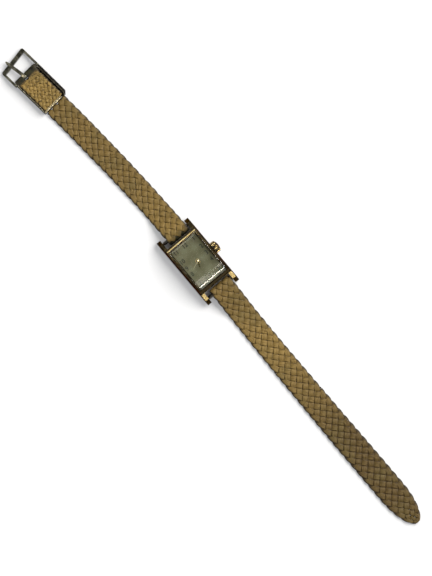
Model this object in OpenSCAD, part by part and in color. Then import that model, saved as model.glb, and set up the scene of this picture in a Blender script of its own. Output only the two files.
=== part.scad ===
/* [Case] */
// Width of the case middle, without the crown
case_w = 15; // [14.6:0.1:16]
// Length of the case body, without the lugs
case_body_l = 21.1; // [20.7:0.1:22.3]
// Distance from lug tip to lug tip along the strap
lug_to_lug = 29.8; // [29.2:0.1:31]
// Gap between a pair of lugs
lug_gap = 11.6; // [11.2:0.1:12]
// Thickness of the snap-on case back
back_t = 0.4; // [0.35:0.05:0.6]
// Height of the bezel above the case middle
bezel_h = 1.1; // [0.9:0.05:1.3]
// Width of the bezel's bright frame on its long sides
bezel_frame = 0.65; // [0.5:0.05:0.8]
// Height of one step between the bezel and the case ends
end_step = 0.3; // [0.2:0.05:0.4]

/* [Crystal and dial] */
// Width of the crystal
crystal_w = 12.6; // [12.4:0.1:12.9]
// Length of the crystal
crystal_l = 18.8; // [18.4:0.1:19]
// Height of the crystal's rim above its seat
crystal_rim_h = 0.9; // [0.7:0.1:1.2]
// Rise of the crystal's arch over its length
crystal_rise = 1.15; // [0.8:0.05:1.5]
// Wall of the crystal
crystal_t = 0.8; // [0.6:0.1:1]
// Thickness of the dial
dial_t = 0.25; // [0.2:0.05:0.35]
// Length of the minute hand from its axis
minute_hand_l = 4; // [3.4:0.1:4.6]
// Length of the hour hand from its axis
hour_hand_l = 3; // [2.4:0.1:3.3]
// Angle of the minute hand, clockwise from twelve
minute_hand_at = 249; // [0:1:359]
// Angle of the hour hand, clockwise from twelve
hour_hand_at = 200.75; // [0:0.25:359]

/* [Crown and stem] */
// Diameter of the crown
crown_d = 4.5; // [4:0.1:4.7]
// Length of the crown, from its inner face to the top of its dome
crown_l = 2.25; // [2:0.05:2.6]
// Gap between the crown and the case
crown_gap = 0.08; // [0.05:0.01:0.15]
// Diameter of the winding stem
stem_d = 0.84; // [0.7:0.02:0.9]
// Travel of the crown when it is pulled
crown_pull = 0.4; // [0.3:0.05:0.4]

/* [Movement] */
// Width of the mainplate
plate_w = 12.5; // [12.3:0.05:12.6]
// Length of the mainplate
plate_l = 17.7; // [17.5:0.05:17.8]
// Thickness of the mainplate
plate_t = 0.8; // [0.7:0.05:0.95]
// Thickness of the bridges
bridge_t = 0.65; // [0.6:0.05:0.75]
// Height of the space between the bridges and the mainplate
train_space = 1.45; // [1.4:0.05:1.6]
// Height of the space between the mainplate and the dial
motion_space = 0.55; // [0.5:0.05:0.7]
// Thickness of the ratchet wheel and the crown wheel
keyless_t = 0.3; // [0.2:0.02:0.34]
// Thickness of the thin train wheels
wheel_t = 0.15; // [0.1:0.01:0.18]
// Outer diameter of a bearing jewel
jewel_d = 0.8; // [0.7:0.05:0.9]
// Diameter of a wheel's pivot
pivot_d = 0.2; // [0.16:0.02:0.26]
// Diameter of a bridge screw's shank
screw_d = 0.44; // [0.36:0.02:0.5]
// Diameter of the balance wheel
balance_d = 5.5; // [4.8:0.1:5.5]

/* [Spring bars] */
// Diameter of a spring bar's tube
bar_tube_d = 1.4; // [1.3:0.05:1.5]
// Diameter of a spring bar's nose
bar_nose_d = 0.76; // [0.6:0.02:0.8]
// How far a nose reaches into its lug
bar_nose_in = 0.7; // [0.5:0.05:0.8]
// Height of a spring bar's axis
bar_z = 2.6; // [2.55:0.05:2.75]
// Distance of a spring bar's axis from the lug tips
bar_inset = 1.9; // [1.8:0.05:2]
// Clearance between the strap's loops and the ends of the case
loop_gap = 0.4; // [0.3:0.05:0.45]

/* [Strap] */
// Thickness of the plaited strap
strap_t = 1.5; // [1.4:0.05:1.6]
// Thickness of the plait where it turns round a spring bar
loop_t = 1.25; // [1.1:0.05:1.35]
// Width of the strap between the lugs
strap_w = 9.6; // [9:0.1:9.8]
// Width of the tail half near its tip
tail_w = 10.9; // [10.4:0.1:11.2]
// Sideways shift of the strap in the lugs, towards the crown
strap_shift = 0.7; // [0.4:0.05:0.7]
// Length of the strap's stretch from a spring bar to its first bend
first_l = 15; // [14.5:0.1:16]
// Length of one flexing stretch of the strap
stretch_l = 15; // [14:0.1:16]
// Length of the last stretch of the tail, with the rounded tip
tip_l = 23; // [22:0.1:26]
// Length over which the tip is rounded
tip_round = 14.6; // [12:0.1:16]
// Length over which the strap comes down from a spring bar, on its upper face
fall_l = 13; // [12:0.5:14]
// Length over which it comes down on its lower face
under_fall_l = 4; // [3.5:0.5:5]
// Running clearance round each bend line of the strap
bend_gap = 0.08; // [0.05:0.01:0.1]

/* [Buckle] */
// Distance from the last bend of the strap to the buckle bar
end_l = 21; // [20.6:0.05:21.5]
// Turn of the buckle end away from the case axis
buckle_turn = 5.5; // [4:0.5:6]
// Width of the metal sleeve
sleeve_w = 11.8; // [11.4:0.1:12]
// Length of the metal sleeve
sleeve_l = 13.9; // [13:0.1:14.2]
// Thickness of the sleeve's floor
sleeve_floor = 0.25; // [0.2:0.05:0.3]
// Width of the sleeve's side band on the far side from the crown
sleeve_band = 0.5; // [0.4:0.05:0.6]
// Width of the sleeve's side band on the crown side
sleeve_wide_band = 1.5; // [1.2:0.05:1.6]
// Height of the sleeve
sleeve_h = 2.95; // [2.9:0.05:3.1]
// Width of the sleeve's bright lip at its mouth
lip_w = 0.5; // [0.4:0.05:0.7]
// Outer width of the buckle frame
frame_w = 12.2; // [11.8:0.1:12.4]
// Length of the frame from its hinge axis to its outer edge, on the crown side
frame_l = 8.4; // [8:0.1:8.8]
// Slant of the frame's outer bar
frame_slant = 7; // [5:0.5:8]
// Width of a side arm of the frame
frame_arm = 0.85; // [0.7:0.05:0.9]
// Width of the frame's outer bar
frame_bar = 1.6; // [1.3:0.05:1.8]
// Diameter of the buckle's hinge bar
hinge_d = 1; // [0.9:0.05:1]
// Width of the tongue
tongue_w = 1.3; // [1.1:0.05:1.4]
// Length of the tongue from the bar's axis
tongue_l = 8.9; // [8.6:0.1:9.3]
// Offset of the tongue from the middle of the frame
tongue_at = 0.75; // [0.6:0.05:1]

/* [Hidden] */
$fn = 48;
// A length for cuts that run right through
far = 40;
// Running clearance of a small shaft in its hole
run = 0.03;
// Clearance between a wheel and the plate it turns under
skim = 0.05;

// Heights of the layers of the case, from the case back up
under_gap = 0.2;
z_winding = back_t + under_gap;
z_bridge = z_winding + keyless_t + skim;
z_train = z_bridge + bridge_t;
z_plate = z_train + train_space;
z_motion = z_plate + plate_t;
z_dial = z_motion + motion_space;
z_dial_top = z_dial + dial_t;
rehaut_h = 0.35;
case_h = z_dial_top + rehaut_h;
crystal_seat = case_h + 0.35;
stem_z = z_plate - 0.5;

// Case outline
back_recess = 0.7;
opening_gap = 0.05;
ledge = 0.2;
bezel_w = crystal_w + 2 * bezel_frame;
bezel_l = crystal_l + 2 * bezel_frame;
side_slope_h = 1.2;
foot_bevel = 0.4;
foot_bevel_h = 0.5;
lug_flat_l = 2.65;
lug_drop = 0.35;
lug_nose_z = bar_z - 0.4;
lug_foot = 1;
recess_w = plate_w + 0.7;
recess_l = plate_l + 0.9;
bar_y = lug_to_lug / 2 - bar_inset;
nose_room = 0.15;

// A rectangle with round corners, centred
module round_rect(w, l, r) {
    square([w - 2 * r, l], center = true);
    square([w, l - 2 * r], center = true);
    for (x = [-1, 1], y = [-1, 1])
        translate([x * (w / 2 - r), y * (l / 2 - r)]) circle(r);
}

// An outline drawn in Y and Z, drawn out along X from x0
module along_x(len, x0) {
    translate([x0, 0, 0]) rotate([90, 0, 90]) linear_extrude(len) children();
}

// A bar that lies along X
module bar_x(r, x0, x1, y, z) {
    translate([x0, y, z]) rotate([0, 90, 0]) cylinder(r = r, h = x1 - x0);
}

// Seen from the side: the body between the lugs, with its two end steps
module body_outline() {
    half = case_body_l / 2;
    inner = bezel_l / 2;
    mid = (half + inner) / 2;
    low = case_h - 2 * end_step;
    polygon([
        [-half, back_t], [half, back_t], [half, low], [mid, low], [mid, case_h - end_step],
        [inner, case_h - end_step], [inner, case_h], [-inner, case_h],
        [-inner, case_h - end_step], [-mid, case_h - end_step], [-mid, low], [-half, low]]);
}

// Seen from the side: a rail with a lug at each end
module rail_outline() {
    tip = lug_to_lug / 2;
    half = case_body_l / 2;
    top = case_h - end_step;
    right = [
        [tip - lug_foot, back_t], [tip, back_t + lug_foot], [tip, lug_nose_z],
        [half + lug_flat_l, top - lug_drop], [half, top], [bezel_l / 2, top],
        [bezel_l / 2, case_h]];
    left = [for (i = [len(right) - 1:-1:0]) [-right[i][0], right[i][1]]];
    polygon(concat(right, left));
}

// Seen from the end: the sloping flanks and the bevelled foot
module flank_outline() {
    half = case_w / 2;
    polygon([
        [-half + foot_bevel, back_t], [half - foot_bevel, back_t],
        [half, back_t + foot_bevel_h], [half, case_h - side_slope_h],
        [bezel_w / 2, case_h], [-bezel_w / 2, case_h],
        [-half, case_h - side_slope_h], [-half, back_t + foot_bevel_h]]);
}

module case_middle() color("darkgoldenrod") difference() {
    intersection() {
        union() {
            along_x(lug_gap, -lug_gap / 2) body_outline();
            for (side = [0, 1]) mirror([side, 0, 0])
                along_x(case_w / 2 - lug_gap / 2, lug_gap / 2) rail_outline();
        }
        rotate([90, 0, 0]) linear_extrude(far, center = true) flank_outline();
    }
    linear_extrude(far)
        round_rect(plate_w - 2 * ledge, plate_l - 2 * ledge, 0.8);
    translate([0, 0, z_plate]) linear_extrude(far)
        round_rect(plate_w + 2 * opening_gap, plate_l + 2 * opening_gap, 1);
    linear_extrude(back_t + back_recess)
        round_rect(recess_w, recess_l, 1);
    bar_x(stem_d / 2 + 0.13, 0, far, 0, stem_z);
    for (y = [-bar_y, bar_y]) {
        bar_x(bar_nose_d / 2 + run, -lug_gap / 2 - bar_nose_in - nose_room,
            lug_gap / 2 + bar_nose_in + nose_room, y, bar_z);
        bar_x(loop_r + loop_gap, -lug_gap / 2, lug_gap / 2, y, bar_z);
    }
}

module case_back() color("silver") {
    lip_gap = 0.02;
    lip_t = 0.4;
    bevel = 0.3;
    difference() {
        union() {
            translate([0, 0, back_t / 2]) linear_extrude(back_t / 2)
                round_rect(case_w - 2 * foot_bevel, case_body_l - bevel, 1.2);
            linear_extrude(back_t / 2)
                round_rect(case_w - 2 * foot_bevel - bevel, case_body_l - 2 * bevel, 1.2);
            translate([0, 0, back_t]) linear_extrude(back_recess - lip_gap)
                round_rect(recess_w - 2 * lip_gap, recess_l - 2 * lip_gap, 1);
        }
        translate([0, 0, back_t]) linear_extrude(far)
            round_rect(recess_w - 2 * lip_t, recess_l - 2 * lip_t, 0.8);
    }
}

module bezel() color("gold") difference() {
    skirt_gap = 0.06;
    union() {
        translate([0, 0, case_h]) linear_extrude(bezel_h)
            round_rect(bezel_w, bezel_l, 0.5);
        translate([0, 0, z_dial_top]) linear_extrude(case_h - z_dial_top)
            round_rect(plate_w + 2 * opening_gap - skirt_gap,
                plate_l + 2 * opening_gap - skirt_gap, 1);
    }
    translate([0, 0, z_dial]) linear_extrude(far)
        round_rect(crystal_w - 1, crystal_l - 2, 0.6);
    translate([0, 0, crystal_seat]) linear_extrude(far)
        square([crystal_w, crystal_l], center = true);
}

// The crystal's arch seen from the side, from its foot up to height h at the ends
module arch_outline(half, h, rise) {
    arc_r = (half * half + rise * rise) / (2 * rise);
    intersection() {
        translate([-half, 0]) square([2 * half, h + rise]);
        translate([0, h + rise - arc_r]) circle(arc_r, $fn = 96);
    }
}

module crystal() color("lightcyan", 0.35) {
    fit = 0.02;
    half = crystal_l / 2 - fit;
    w = crystal_w - 2 * fit;
    difference() {
        translate([0, 0, crystal_seat]) along_x(w, -w / 2)
            arch_outline(half, crystal_rim_h, crystal_rise);
        translate([0, 0, crystal_seat - 1])
            along_x(w - 2 * crystal_t, -w / 2 + crystal_t)
            arch_outline(half - crystal_t, crystal_rim_h + 1 - crystal_t, crystal_rise);
    }
}

module dial() color("darkseagreen") difference() {
    dial_gap = 0.06;
    union() {
        translate([0, 0, z_dial]) linear_extrude(dial_t)
            round_rect(plate_w - dial_gap, plate_l - dial_gap, 1);
        for (s = [-1, 1])
            translate([s * dial_foot[0], s * dial_foot[1], z_motion])
                cylinder(d = dial_foot_d, h = motion_space);
    }
    translate([0, 0, z_plate]) cylinder(d = hour_pipe_d + 0.3, h = far);
}

// A tapering hand in plan, from the axis up to length l
module hand_outline(l, hub_d, hole_d) {
    root_w = 0.34;
    tip_w = 0.12;
    tail = 0.9;
    difference() {
        union() {
            circle(d = hub_d);
            polygon([[-tip_w, -tail], [tip_w, -tail], [root_w / 2, 0], [root_w / 2, l * 0.5],
                [tip_w / 2, l], [-tip_w / 2, l], [-root_w / 2, l * 0.5], [-root_w / 2, 0]]);
        }
        circle(d = hole_d);
    }
}

module hour_hand() color("goldenrod") translate([0, 0, z_hour_hand])
    rotate([0, 0, -hour_hand_at]) linear_extrude(hand_t)
    hand_outline(hour_hand_l, hour_pipe_d + 0.4, hour_pipe_d);

module minute_hand() color("goldenrod") translate([0, 0, z_minute_hand])
    rotate([0, 0, -minute_hand_at]) linear_extrude(hand_t)
    hand_outline(minute_hand_l, cannon_d + 0.4, cannon_d);

// The movement's plan is drawn for a plate of this size, and follows the plate's own
plan_plate = [12.5, 17.7];
plan = min(plate_w / plan_plate[0], plate_l / plan_plate[1]);

// Motion works: sizes and heights
centre_arbor_d = 0.6;
cannon_d = 1;
hour_pipe_d = 1.5;
hand_t = 0.1;
z_hour_hand = z_dial_top + 0.2;
z_minute_hand = z_hour_hand + hand_t + 0.1;
cannon_teeth = 12;
minute_teeth = 36;
minute_pinion_teeth = 10;
hour_teeth = 40;
motion_m = 0.09 * plan;
motion_dist = (cannon_teeth + minute_teeth) * motion_m / 2;
hour_m = 2 * motion_dist / (minute_pinion_teeth + hour_teeth);
minute_dir = -50;
minute_at = motion_dist * [cos(minute_dir), sin(minute_dir)];
setting_teeth = 20;
setting_dist = (minute_teeth + setting_teeth) * motion_m / 2;
setting_dir = 17;
setting_at = minute_at + setting_dist * [cos(setting_dir), sin(setting_dir)];
z_lower_gear = z_motion + 0.05;
z_upper_gear = z_lower_gear + wheel_t + 0.05;

// The angle of a gear's tooth that meshes with a neighbour that has na teeth and lies at angle pa
function mesh_phase(phi, na, pa, nb) = phi + 180 + 180 / nb - (pa - phi) * na / nb;

// Points of a gear with n teeth of module m, with one tooth at the given angle
function gear_points(n, m, phase) = [
    for (i = [0:n - 1], k = [0:3])
        let (a = phase + 360 / n * (i + [-0.24, -0.13, 0.13, 0.24][k]),
            r = n * m / 2 + (k == 0 || k == 3 ? -1.1 : 0.85) * m)
        r * [cos(a), sin(a)]];

module gear_outline(n, m, phase) polygon(gear_points(n, m, phase));

// A thin train wheel with four arms, in plan
module wheel_outline(n, m, phase, hub_r) {
    rim_r = n * m / 2 - 3.5 * m;
    arm_w = 0.3;
    difference() {
        gear_outline(n, m, phase);
        difference() {
            circle(rim_r);
            circle(hub_r);
            square([2 * rim_r, arm_w], center = true);
            square([arm_w, 2 * rim_r], center = true);
        }
    }
}

// A band of width w along a flat spiral
function spiral_points(r0, r1, turns, w, steps) = concat(
    [for (i = [0:steps]) let (a = 360 * turns * i / steps, r = r0 + (r1 - r0) * i / steps)
        (r + w / 2) * [cos(a), sin(a)]],
    [for (i = [steps:-1:0]) let (a = 360 * turns * i / steps, r = r0 + (r1 - r0) * i / steps)
        (r - w / 2) * [cos(a), sin(a)]]);

// Train: teeth, modules and places in plan
barrel_teeth = 72;
barrel_m = 0.11 * plan;
centre_pinion_teeth = 12;
centre_teeth = 80;
centre_m = 0.08 * plan;
third_pinion_teeth = 10;
third_teeth = 75;
third_m = 0.075 * plan;
fourth_pinion_teeth = 10;
fourth_teeth = 80;
fourth_m = 0.06 * plan;
escape_pinion_teeth = 8;
escape_teeth = 15;
escape_r = 1.2 * plan;

function reach(na, nb, m) = (na + nb) * m / 2;
function polar(from, dist, dir) = from + dist * [cos(dir), sin(dir)];

barrel_dir = 110.3;
barrel_at = polar([0, 0], reach(barrel_teeth, centre_pinion_teeth, barrel_m), barrel_dir);
third_dir = 228;
third_at = polar([0, 0], reach(centre_teeth, third_pinion_teeth, centre_m), third_dir);
fourth_dir = 255.5;
fourth_at = polar(third_at, reach(third_teeth, fourth_pinion_teeth, third_m), fourth_dir);
escape_dir = -14;
escape_at = polar(fourth_at, reach(fourth_teeth, escape_pinion_teeth, fourth_m), escape_dir);
lever_dir = 27;
pallet_dist = 1.5 * plan;
balance_dist = 3.98 * plan;
pallet_at = polar(escape_at, pallet_dist, lever_dir);
balance_at = polar(escape_at, balance_dist, lever_dir);

centre_pinion_phase = mesh_phase(barrel_dir + 180, barrel_teeth, 0, centre_pinion_teeth);
third_pinion_phase = mesh_phase(third_dir, centre_teeth, 0, third_pinion_teeth);
fourth_pinion_phase = mesh_phase(fourth_dir, third_teeth, 0, fourth_pinion_teeth);
escape_pinion_phase = mesh_phase(escape_dir, fourth_teeth, 0, escape_pinion_teeth);

// Heights inside the train space: low wheels over the bridges, high ones under the mainplate
z_low = z_train + 0.1;
z_third = z_train + 0.5;
z_centre = z_plate - 0.3;
z_lever = z_plate - 0.5;

// Winding wheels
ratchet_teeth = 58;
crown_wheel_teeth = 32;
winding_teeth = 16;
winding_m = 0.14 * plan;
crown_wheel_x = 3 * plan;
ratchet_dir = atan2(barrel_at[1], barrel_at[0] - crown_wheel_x);
ratchet_phase = mesh_phase(ratchet_dir, crown_wheel_teeth, 0, ratchet_teeth);
face_teeth_r = crown_wheel_teeth * winding_m / 2 - 0.04;
winding_r = 1.25 * plan;
winding_x0 = 4.75 * plan;
winding_x1 = 5.4 * plan;
face_top = stem_z - winding_r + 0.12;
clutch_x0 = 3.75 * plan;
clutch_x1 = 4.55 * plan;
clutch_r = 0.8;
groove_x0 = 5.5 * plan;
groove_x1 = 5.8 * plan;
groove_d = 0.56;
pilot_x = 3.4 * plan;
pilot_d = 0.5;
stem_end_x = case_w / 2 + crown_gap + 1.4;
square_w = 0.5;

module crown() color("gold") difference() {
    x0 = case_w / 2 + crown_gap;
    dome_l = 0.65;
    knurls = 32;
    knurl_depth = 0.09;
    barrel_l = crown_l - dome_l;
    translate([x0, 0, stem_z]) union() {
        difference() {
            rotate([0, 90, 0]) cylinder(d = crown_d, h = barrel_l);
            for (i = [0:knurls - 1]) rotate([(i + 0.5) * 360 / knurls, 0, 0])
                translate([-1, 0, crown_d / 2]) rotate([45, 0, 0])
                translate([0, -knurl_depth, -knurl_depth]) cube([far, 2 * knurl_depth, 2 * knurl_depth]);
        }
        translate([barrel_l, 0, 0]) rotate([0, 90, 0]) rotate_extrude()
            intersection() {
                square([crown_d / 2 - 0.12, dome_l]);
                translate([0, dome_l - 4.2]) circle(4.2);
            }
    }
    bar_x(stem_d / 2, 0, stem_end_x, 0, stem_z);
}

module winding_stem() color("silver") {
    bar_x(pilot_d / 2, pilot_x, clutch_x0 - 0.05, 0, stem_z);
    translate([clutch_x0 - 0.05, -square_w / 2, stem_z - square_w / 2])
        cube([winding_x0 - clutch_x0 + 0.05, square_w, square_w]);
    bar_x(stem_d / 2, winding_x0, groove_x0, 0, stem_z);
    bar_x(groove_d / 2, groove_x0, groove_x1, 0, stem_z);
    bar_x(stem_d / 2, groove_x1, stem_end_x, 0, stem_z);
}

module winding_pinion() color("silver") {
    neck_r = 0.6;
    face_l = 0.12;
    difference() {
        union() {
            translate([winding_x0 + face_l, 0, stem_z]) rotate([0, 90, 0])
                linear_extrude(winding_x1 - winding_x0 - face_l)
                gear_outline(winding_teeth, winding_m * 0.98, 0);
            bar_x(neck_r, winding_x0, winding_x0 + face_l, 0, stem_z);
        }
        bar_x(stem_d / 2 + run, 0, far, 0, stem_z);
    }
}

module clutch_wheel() color("silver") difference() {
    collar_w = 0.25;
    union() {
        bar_x(clutch_r, clutch_x0, clutch_x0 + collar_w, 0, stem_z);
        bar_x(clutch_r - 0.25, clutch_x0 + collar_w, clutch_x1 - collar_w, 0, stem_z);
        translate([clutch_x1 - collar_w, 0, stem_z]) rotate([0, 90, 0])
            linear_extrude(collar_w) gear_outline(winding_teeth, 0.09, 0);
    }
    slide = square_w + 2 * run;
    translate([clutch_x0 - 1, -slide / 2, stem_z - slide / 2]) cube([far, slide, slide]);
}

// The lever that draws the stem: it turns on a post on the mainplate's dial side
lever_pin_x = (groove_x0 + groove_x1) / 2;
lever_len = 2.2;
lever_x = lever_pin_x + crown_pull / 2;
lever_pin_d = 0.22;
lever_t = 0.15;
module setting_lever() color("silver") {
    post_d = 0.36;
    translate([0, 0, z_lower_gear]) linear_extrude(lever_t) difference() {
        union() {
            translate([lever_x, -lever_len]) circle(d = 0.7);
            translate([lever_pin_x, 0]) circle(d = 0.44);
            polygon([[lever_x - 0.3, -lever_len], [lever_x + 0.3, -lever_len],
                [lever_pin_x + 0.2, 0], [lever_pin_x - 0.2, 0]]);
        }
        translate([lever_x, -lever_len]) circle(d = post_d + 2 * run);
    }
    translate([lever_pin_x, 0, stem_z + groove_d / 2 + run])
        cylinder(d = lever_pin_d, h = z_lower_gear - stem_z - groove_d / 2);
}

module setting_wheel() color("goldenrod")
    translate([setting_at[0], setting_at[1], z_lower_gear]) linear_extrude(wheel_t) difference() {
        gear_outline(setting_teeth, motion_m, setting_phase);
        circle(d = post_d + 2 * run);
    }
post_d = 0.4;

minute_phase = mesh_phase(minute_dir, cannon_teeth, 0, minute_teeth);
setting_phase = mesh_phase(setting_dir, minute_teeth, minute_phase, setting_teeth);
hour_phase = mesh_phase(minute_dir + 180, minute_pinion_teeth, 0, hour_teeth);

// Places of the pillars that carry each bridge, as x and y
barrel_pillars = plan * [[-5.25, 7.9], [4.9, 7.5], [4.6, 3.4]];
train_pillars = plan * [[-5.35, -0.2], [-5.35, -7.95], [0.2, -8.05]];
cock_pillars = plan * [[5, -7.7]];
pillar_d = 1;
// Place of a dial foot; the other foot lies opposite
dial_foot = plan * [4.6, 7.4];
dial_foot_d = 0.5;

// Jewels in the mainplate and in the bridges: place and lower face
jewel_t = 0.25;
plate_jewels = [for (p = [third_at, fourth_at, escape_at, pallet_at, balance_at]) p];
bridge_jewels = [for (p = [[0, 0], third_at, fourth_at, escape_at, balance_at]) p];
z_pallet_cock = z_lever - 0.25;
pallet_cock_t = 0.15;

module ring(od, id, h) difference() {
    cylinder(d = od, h = h);
    translate([0, 0, -1]) cylinder(d = id, h = h + 2);
}

module jewels() color("crimson") {
    hole = pivot_d + 2 * run;
    for (p = plate_jewels) translate([p[0], p[1], z_plate]) ring(jewel_d, hole, jewel_t);
    for (p = bridge_jewels)
        translate([p[0], p[1], z_train - jewel_t]) ring(jewel_d, hole, jewel_t);
    translate([pallet_at[0], pallet_at[1], z_pallet_cock]) ring(0.5, hole, pallet_cock_t);
}

// Wells that hold the jewels, from z0 up by h
module jewel_wells(places, z0, h) {
    for (p = places) translate([p[0], p[1], z0]) cylinder(d = jewel_d, h = h);
}

module screw_holes(places, z0, h) {
    for (p = places) translate([p[0], p[1], z0]) cylinder(d = screw_d, h = h);
}

module mainplate() color("lightgray") difference() {
    rim_w = 0.5;
    pocket_y = 1.35;
    block_x0 = pilot_x - 0.02;
    block_w = 0.24;
    union() {
        translate([0, 0, z_plate]) linear_extrude(plate_t) round_rect(plate_w, plate_l, 1);
        translate([0, 0, z_motion]) linear_extrude(motion_space) difference() {
            round_rect(plate_w, plate_l, 1);
            round_rect(plate_w - 2 * rim_w, plate_l - 2 * rim_w, 0.7);
            translate([plate_w / 2, -1.1]) square([2 * rim_w + 1.4, 3.6], center = true);
        }
        for (p = [minute_at, setting_at])
            translate([p[0], p[1], z_motion]) cylinder(d = post_d, h = 0.3);
        translate([lever_x, -lever_len, z_motion]) cylinder(d = 0.36, h = 0.3);
        translate([block_x0, -0.6, z_plate - 0.9]) cube([block_w, 1.2, 0.95]);
    }
    bar_x(pilot_d / 2 + run, 0, clutch_x0, 0, stem_z);
    translate([block_x0 + block_w, -pocket_y, z_plate - 1])
        cube([groove_x0 - block_x0 - block_w, 2 * pocket_y, far]);
    translate([groove_x0, -0.3, z_plate - 1])
        cube([groove_x1 - groove_x0 + crown_pull + 0.05, 0.6, far]);
    jewel_wells(plate_jewels, z_plate - 1, 1 + jewel_t);
    for (p = plate_jewels) translate([p[0], p[1], z_plate]) cylinder(d = 0.4, h = far);
    translate([0, 0, z_plate - 1]) cylinder(d = centre_arbor_d + 2 * run, h = far);
    translate([barrel_at[0], barrel_at[1], z_plate - 1])
        cylinder(d = arbor_pivot_d + 2 * run, h = 1 + plate_t / 2);
    screw_holes(concat(barrel_pillars, train_pillars, cock_pillars, [pallet_foot]),
        z_plate - 1, 1 + plate_t / 2);
    for (s = [-1, 1])
        translate([s * dial_foot[0], s * dial_foot[1], z_plate - 1])
            cylinder(d = dial_foot_d, h = far);
}

// A bridge: its plan drawn up over its thickness, standing on pillars
module bridge(pillars, jewel_places) difference() {
    union() {
        translate([0, 0, z_bridge]) linear_extrude(bridge_t) children();
        for (p = pillars)
            translate([p[0], p[1], z_bridge]) cylinder(d = pillar_d, h = z_plate - z_bridge);
    }
    screw_holes(pillars, z_bridge - 1, far);
    jewel_wells(jewel_places, z_train - jewel_t, far);
    for (p = jewel_places) translate([p[0], p[1], z_bridge - 1]) cylinder(d = 0.4, h = far);
}

// The edges of the movement that the bridges share
bridge_margin = 0.45;
inner_x = plate_w / 2 - bridge_margin;
inner_y = plate_l / 2 - bridge_margin;
split_y = 0.72;
split_x = 0.5;
winding_edge_y = -2.72;
bridge_split = 0.04;

module barrel_bridge() color("lightgray") difference() {
    groove_t = face_top - z_bridge + 0.05;
    union() {
        bridge(barrel_pillars, []) polygon([
            [-inner_x, split_y + bridge_split], [split_x, split_y + bridge_split],
            [split_x, winding_edge_y], [inner_x, winding_edge_y],
            [inner_x, inner_y], [-inner_x, inner_y]]);
        translate([crown_wheel_x, 0, z_winding]) cylinder(d = 1.1, h = z_bridge - z_winding);
        translate([click_at[0], click_at[1], z_winding])
            cylinder(d = click_post_d, h = z_bridge - z_winding);
    }
    translate([barrel_at[0], barrel_at[1], 0])
        cylinder(d = arbor_pivot_d + 2 * run, h = far);
    translate([crown_wheel_x, 0, z_bridge - 0.01]) difference() {
        cylinder(r = face_teeth_r + 0.3, h = groove_t + 0.01);
        cylinder(r = face_teeth_r - 0.3, h = groove_t + 0.01);
    }
    translate([winding_x0 - 0.15, -1.2, z_bridge - 1])
        cube([winding_x1 - winding_x0 + 0.25, 2.4, far]);
}

module train_bridge() color("lightgray") bridge(train_pillars, [
    [0, 0], third_at, fourth_at, escape_at]) polygon([
        [-inner_x, -inner_y], [0.75, -inner_y], [0.75, winding_edge_y - 0.1],
        [split_x - bridge_split, winding_edge_y - 0.1], [split_x - bridge_split, split_y],
        [-inner_x, split_y]]);

module balance_cock() color("lightgray") bridge(cock_pillars, [balance_at]) polygon([
    [3.7 * plan, -inner_y], [inner_x, -inner_y], [inner_x, -6.4 * plan],
    [balance_at[0] + 1, balance_at[1] + 0.5],
    [balance_at[0] + 0.3, balance_at[1] + 0.85], [balance_at[0] - 0.7, balance_at[1] + 0.5],
    [balance_at[0] - 0.8, balance_at[1] - 0.6]]);

pallet_foot = plan * [1.6, -7.6];
module pallet_cock() color("lightgray") difference() {
    union() {
        translate([0, 0, z_pallet_cock]) linear_extrude(pallet_cock_t) union() {
            translate(pallet_foot) circle(d = 0.8);
            translate(pallet_at) circle(d = 0.8);
            polygon([pallet_foot + [-0.4, 0], pallet_foot + [0.35, 0.15],
                pallet_at + [0.38, 0.1], pallet_at + [-0.35, -0.1]]);
        }
        translate([pallet_foot[0], pallet_foot[1], z_pallet_cock])
            cylinder(d = 0.8, h = z_plate - z_pallet_cock);
    }
    screw_holes([pallet_foot], z_pallet_cock - 1, far);
    translate([pallet_at[0], pallet_at[1], z_pallet_cock - 1]) cylinder(d = 0.5, h = far);
}

module movement_screws() color("steelblue") {
    head_t = 0.18;
    head_d = 0.8;
    for (p = concat(barrel_pillars, train_pillars, cock_pillars))
        translate([p[0], p[1], z_bridge - head_t]) {
            cylinder(d = head_d, h = head_t);
            cylinder(d = screw_d, h = z_plate + plate_t / 2 - z_bridge + head_t);
        }
    translate([pallet_foot[0], pallet_foot[1], z_pallet_cock - 0.12]) {
        cylinder(d = 0.7, h = 0.12);
        cylinder(d = screw_d, h = z_plate + plate_t / 2 - z_pallet_cock + 0.12);
    }
}

// Barrel sizes
arbor_pivot_d = 0.9;
arbor_core_d = 1.7;
barrel_h = 0.95;
barrel_wall = 0.2;
barrel_floor = 0.15;
drum_r = barrel_teeth * barrel_m / 2 - 0.4;

module barrel() color("goldenrod")
    translate([barrel_at[0], barrel_at[1], z_low]) difference() {
        union() {
            cylinder(r = drum_r, h = barrel_h);
            linear_extrude(0.25) gear_outline(barrel_teeth, barrel_m, 0);
        }
        translate([0, 0, barrel_floor]) cylinder(r = drum_r - barrel_wall, h = far);
        translate([0, 0, -1]) cylinder(d = arbor_pivot_d + 2 * run, h = far);
    }

module barrel_cover() color("goldenrod")
    translate([barrel_at[0], barrel_at[1], z_low + barrel_h - barrel_floor])
    ring(2 * (drum_r - barrel_wall), arbor_pivot_d + 2 * run, barrel_floor);

module mainspring() color("slategray")
    translate([barrel_at[0], barrel_at[1], z_low + barrel_floor + skim])
    linear_extrude(barrel_h - 2 * barrel_floor - 2 * skim)
    polygon(spiral_points(arbor_core_d / 2 + 0.12, drum_r - barrel_wall - 0.08, 7.25, 0.12, 174));

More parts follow.
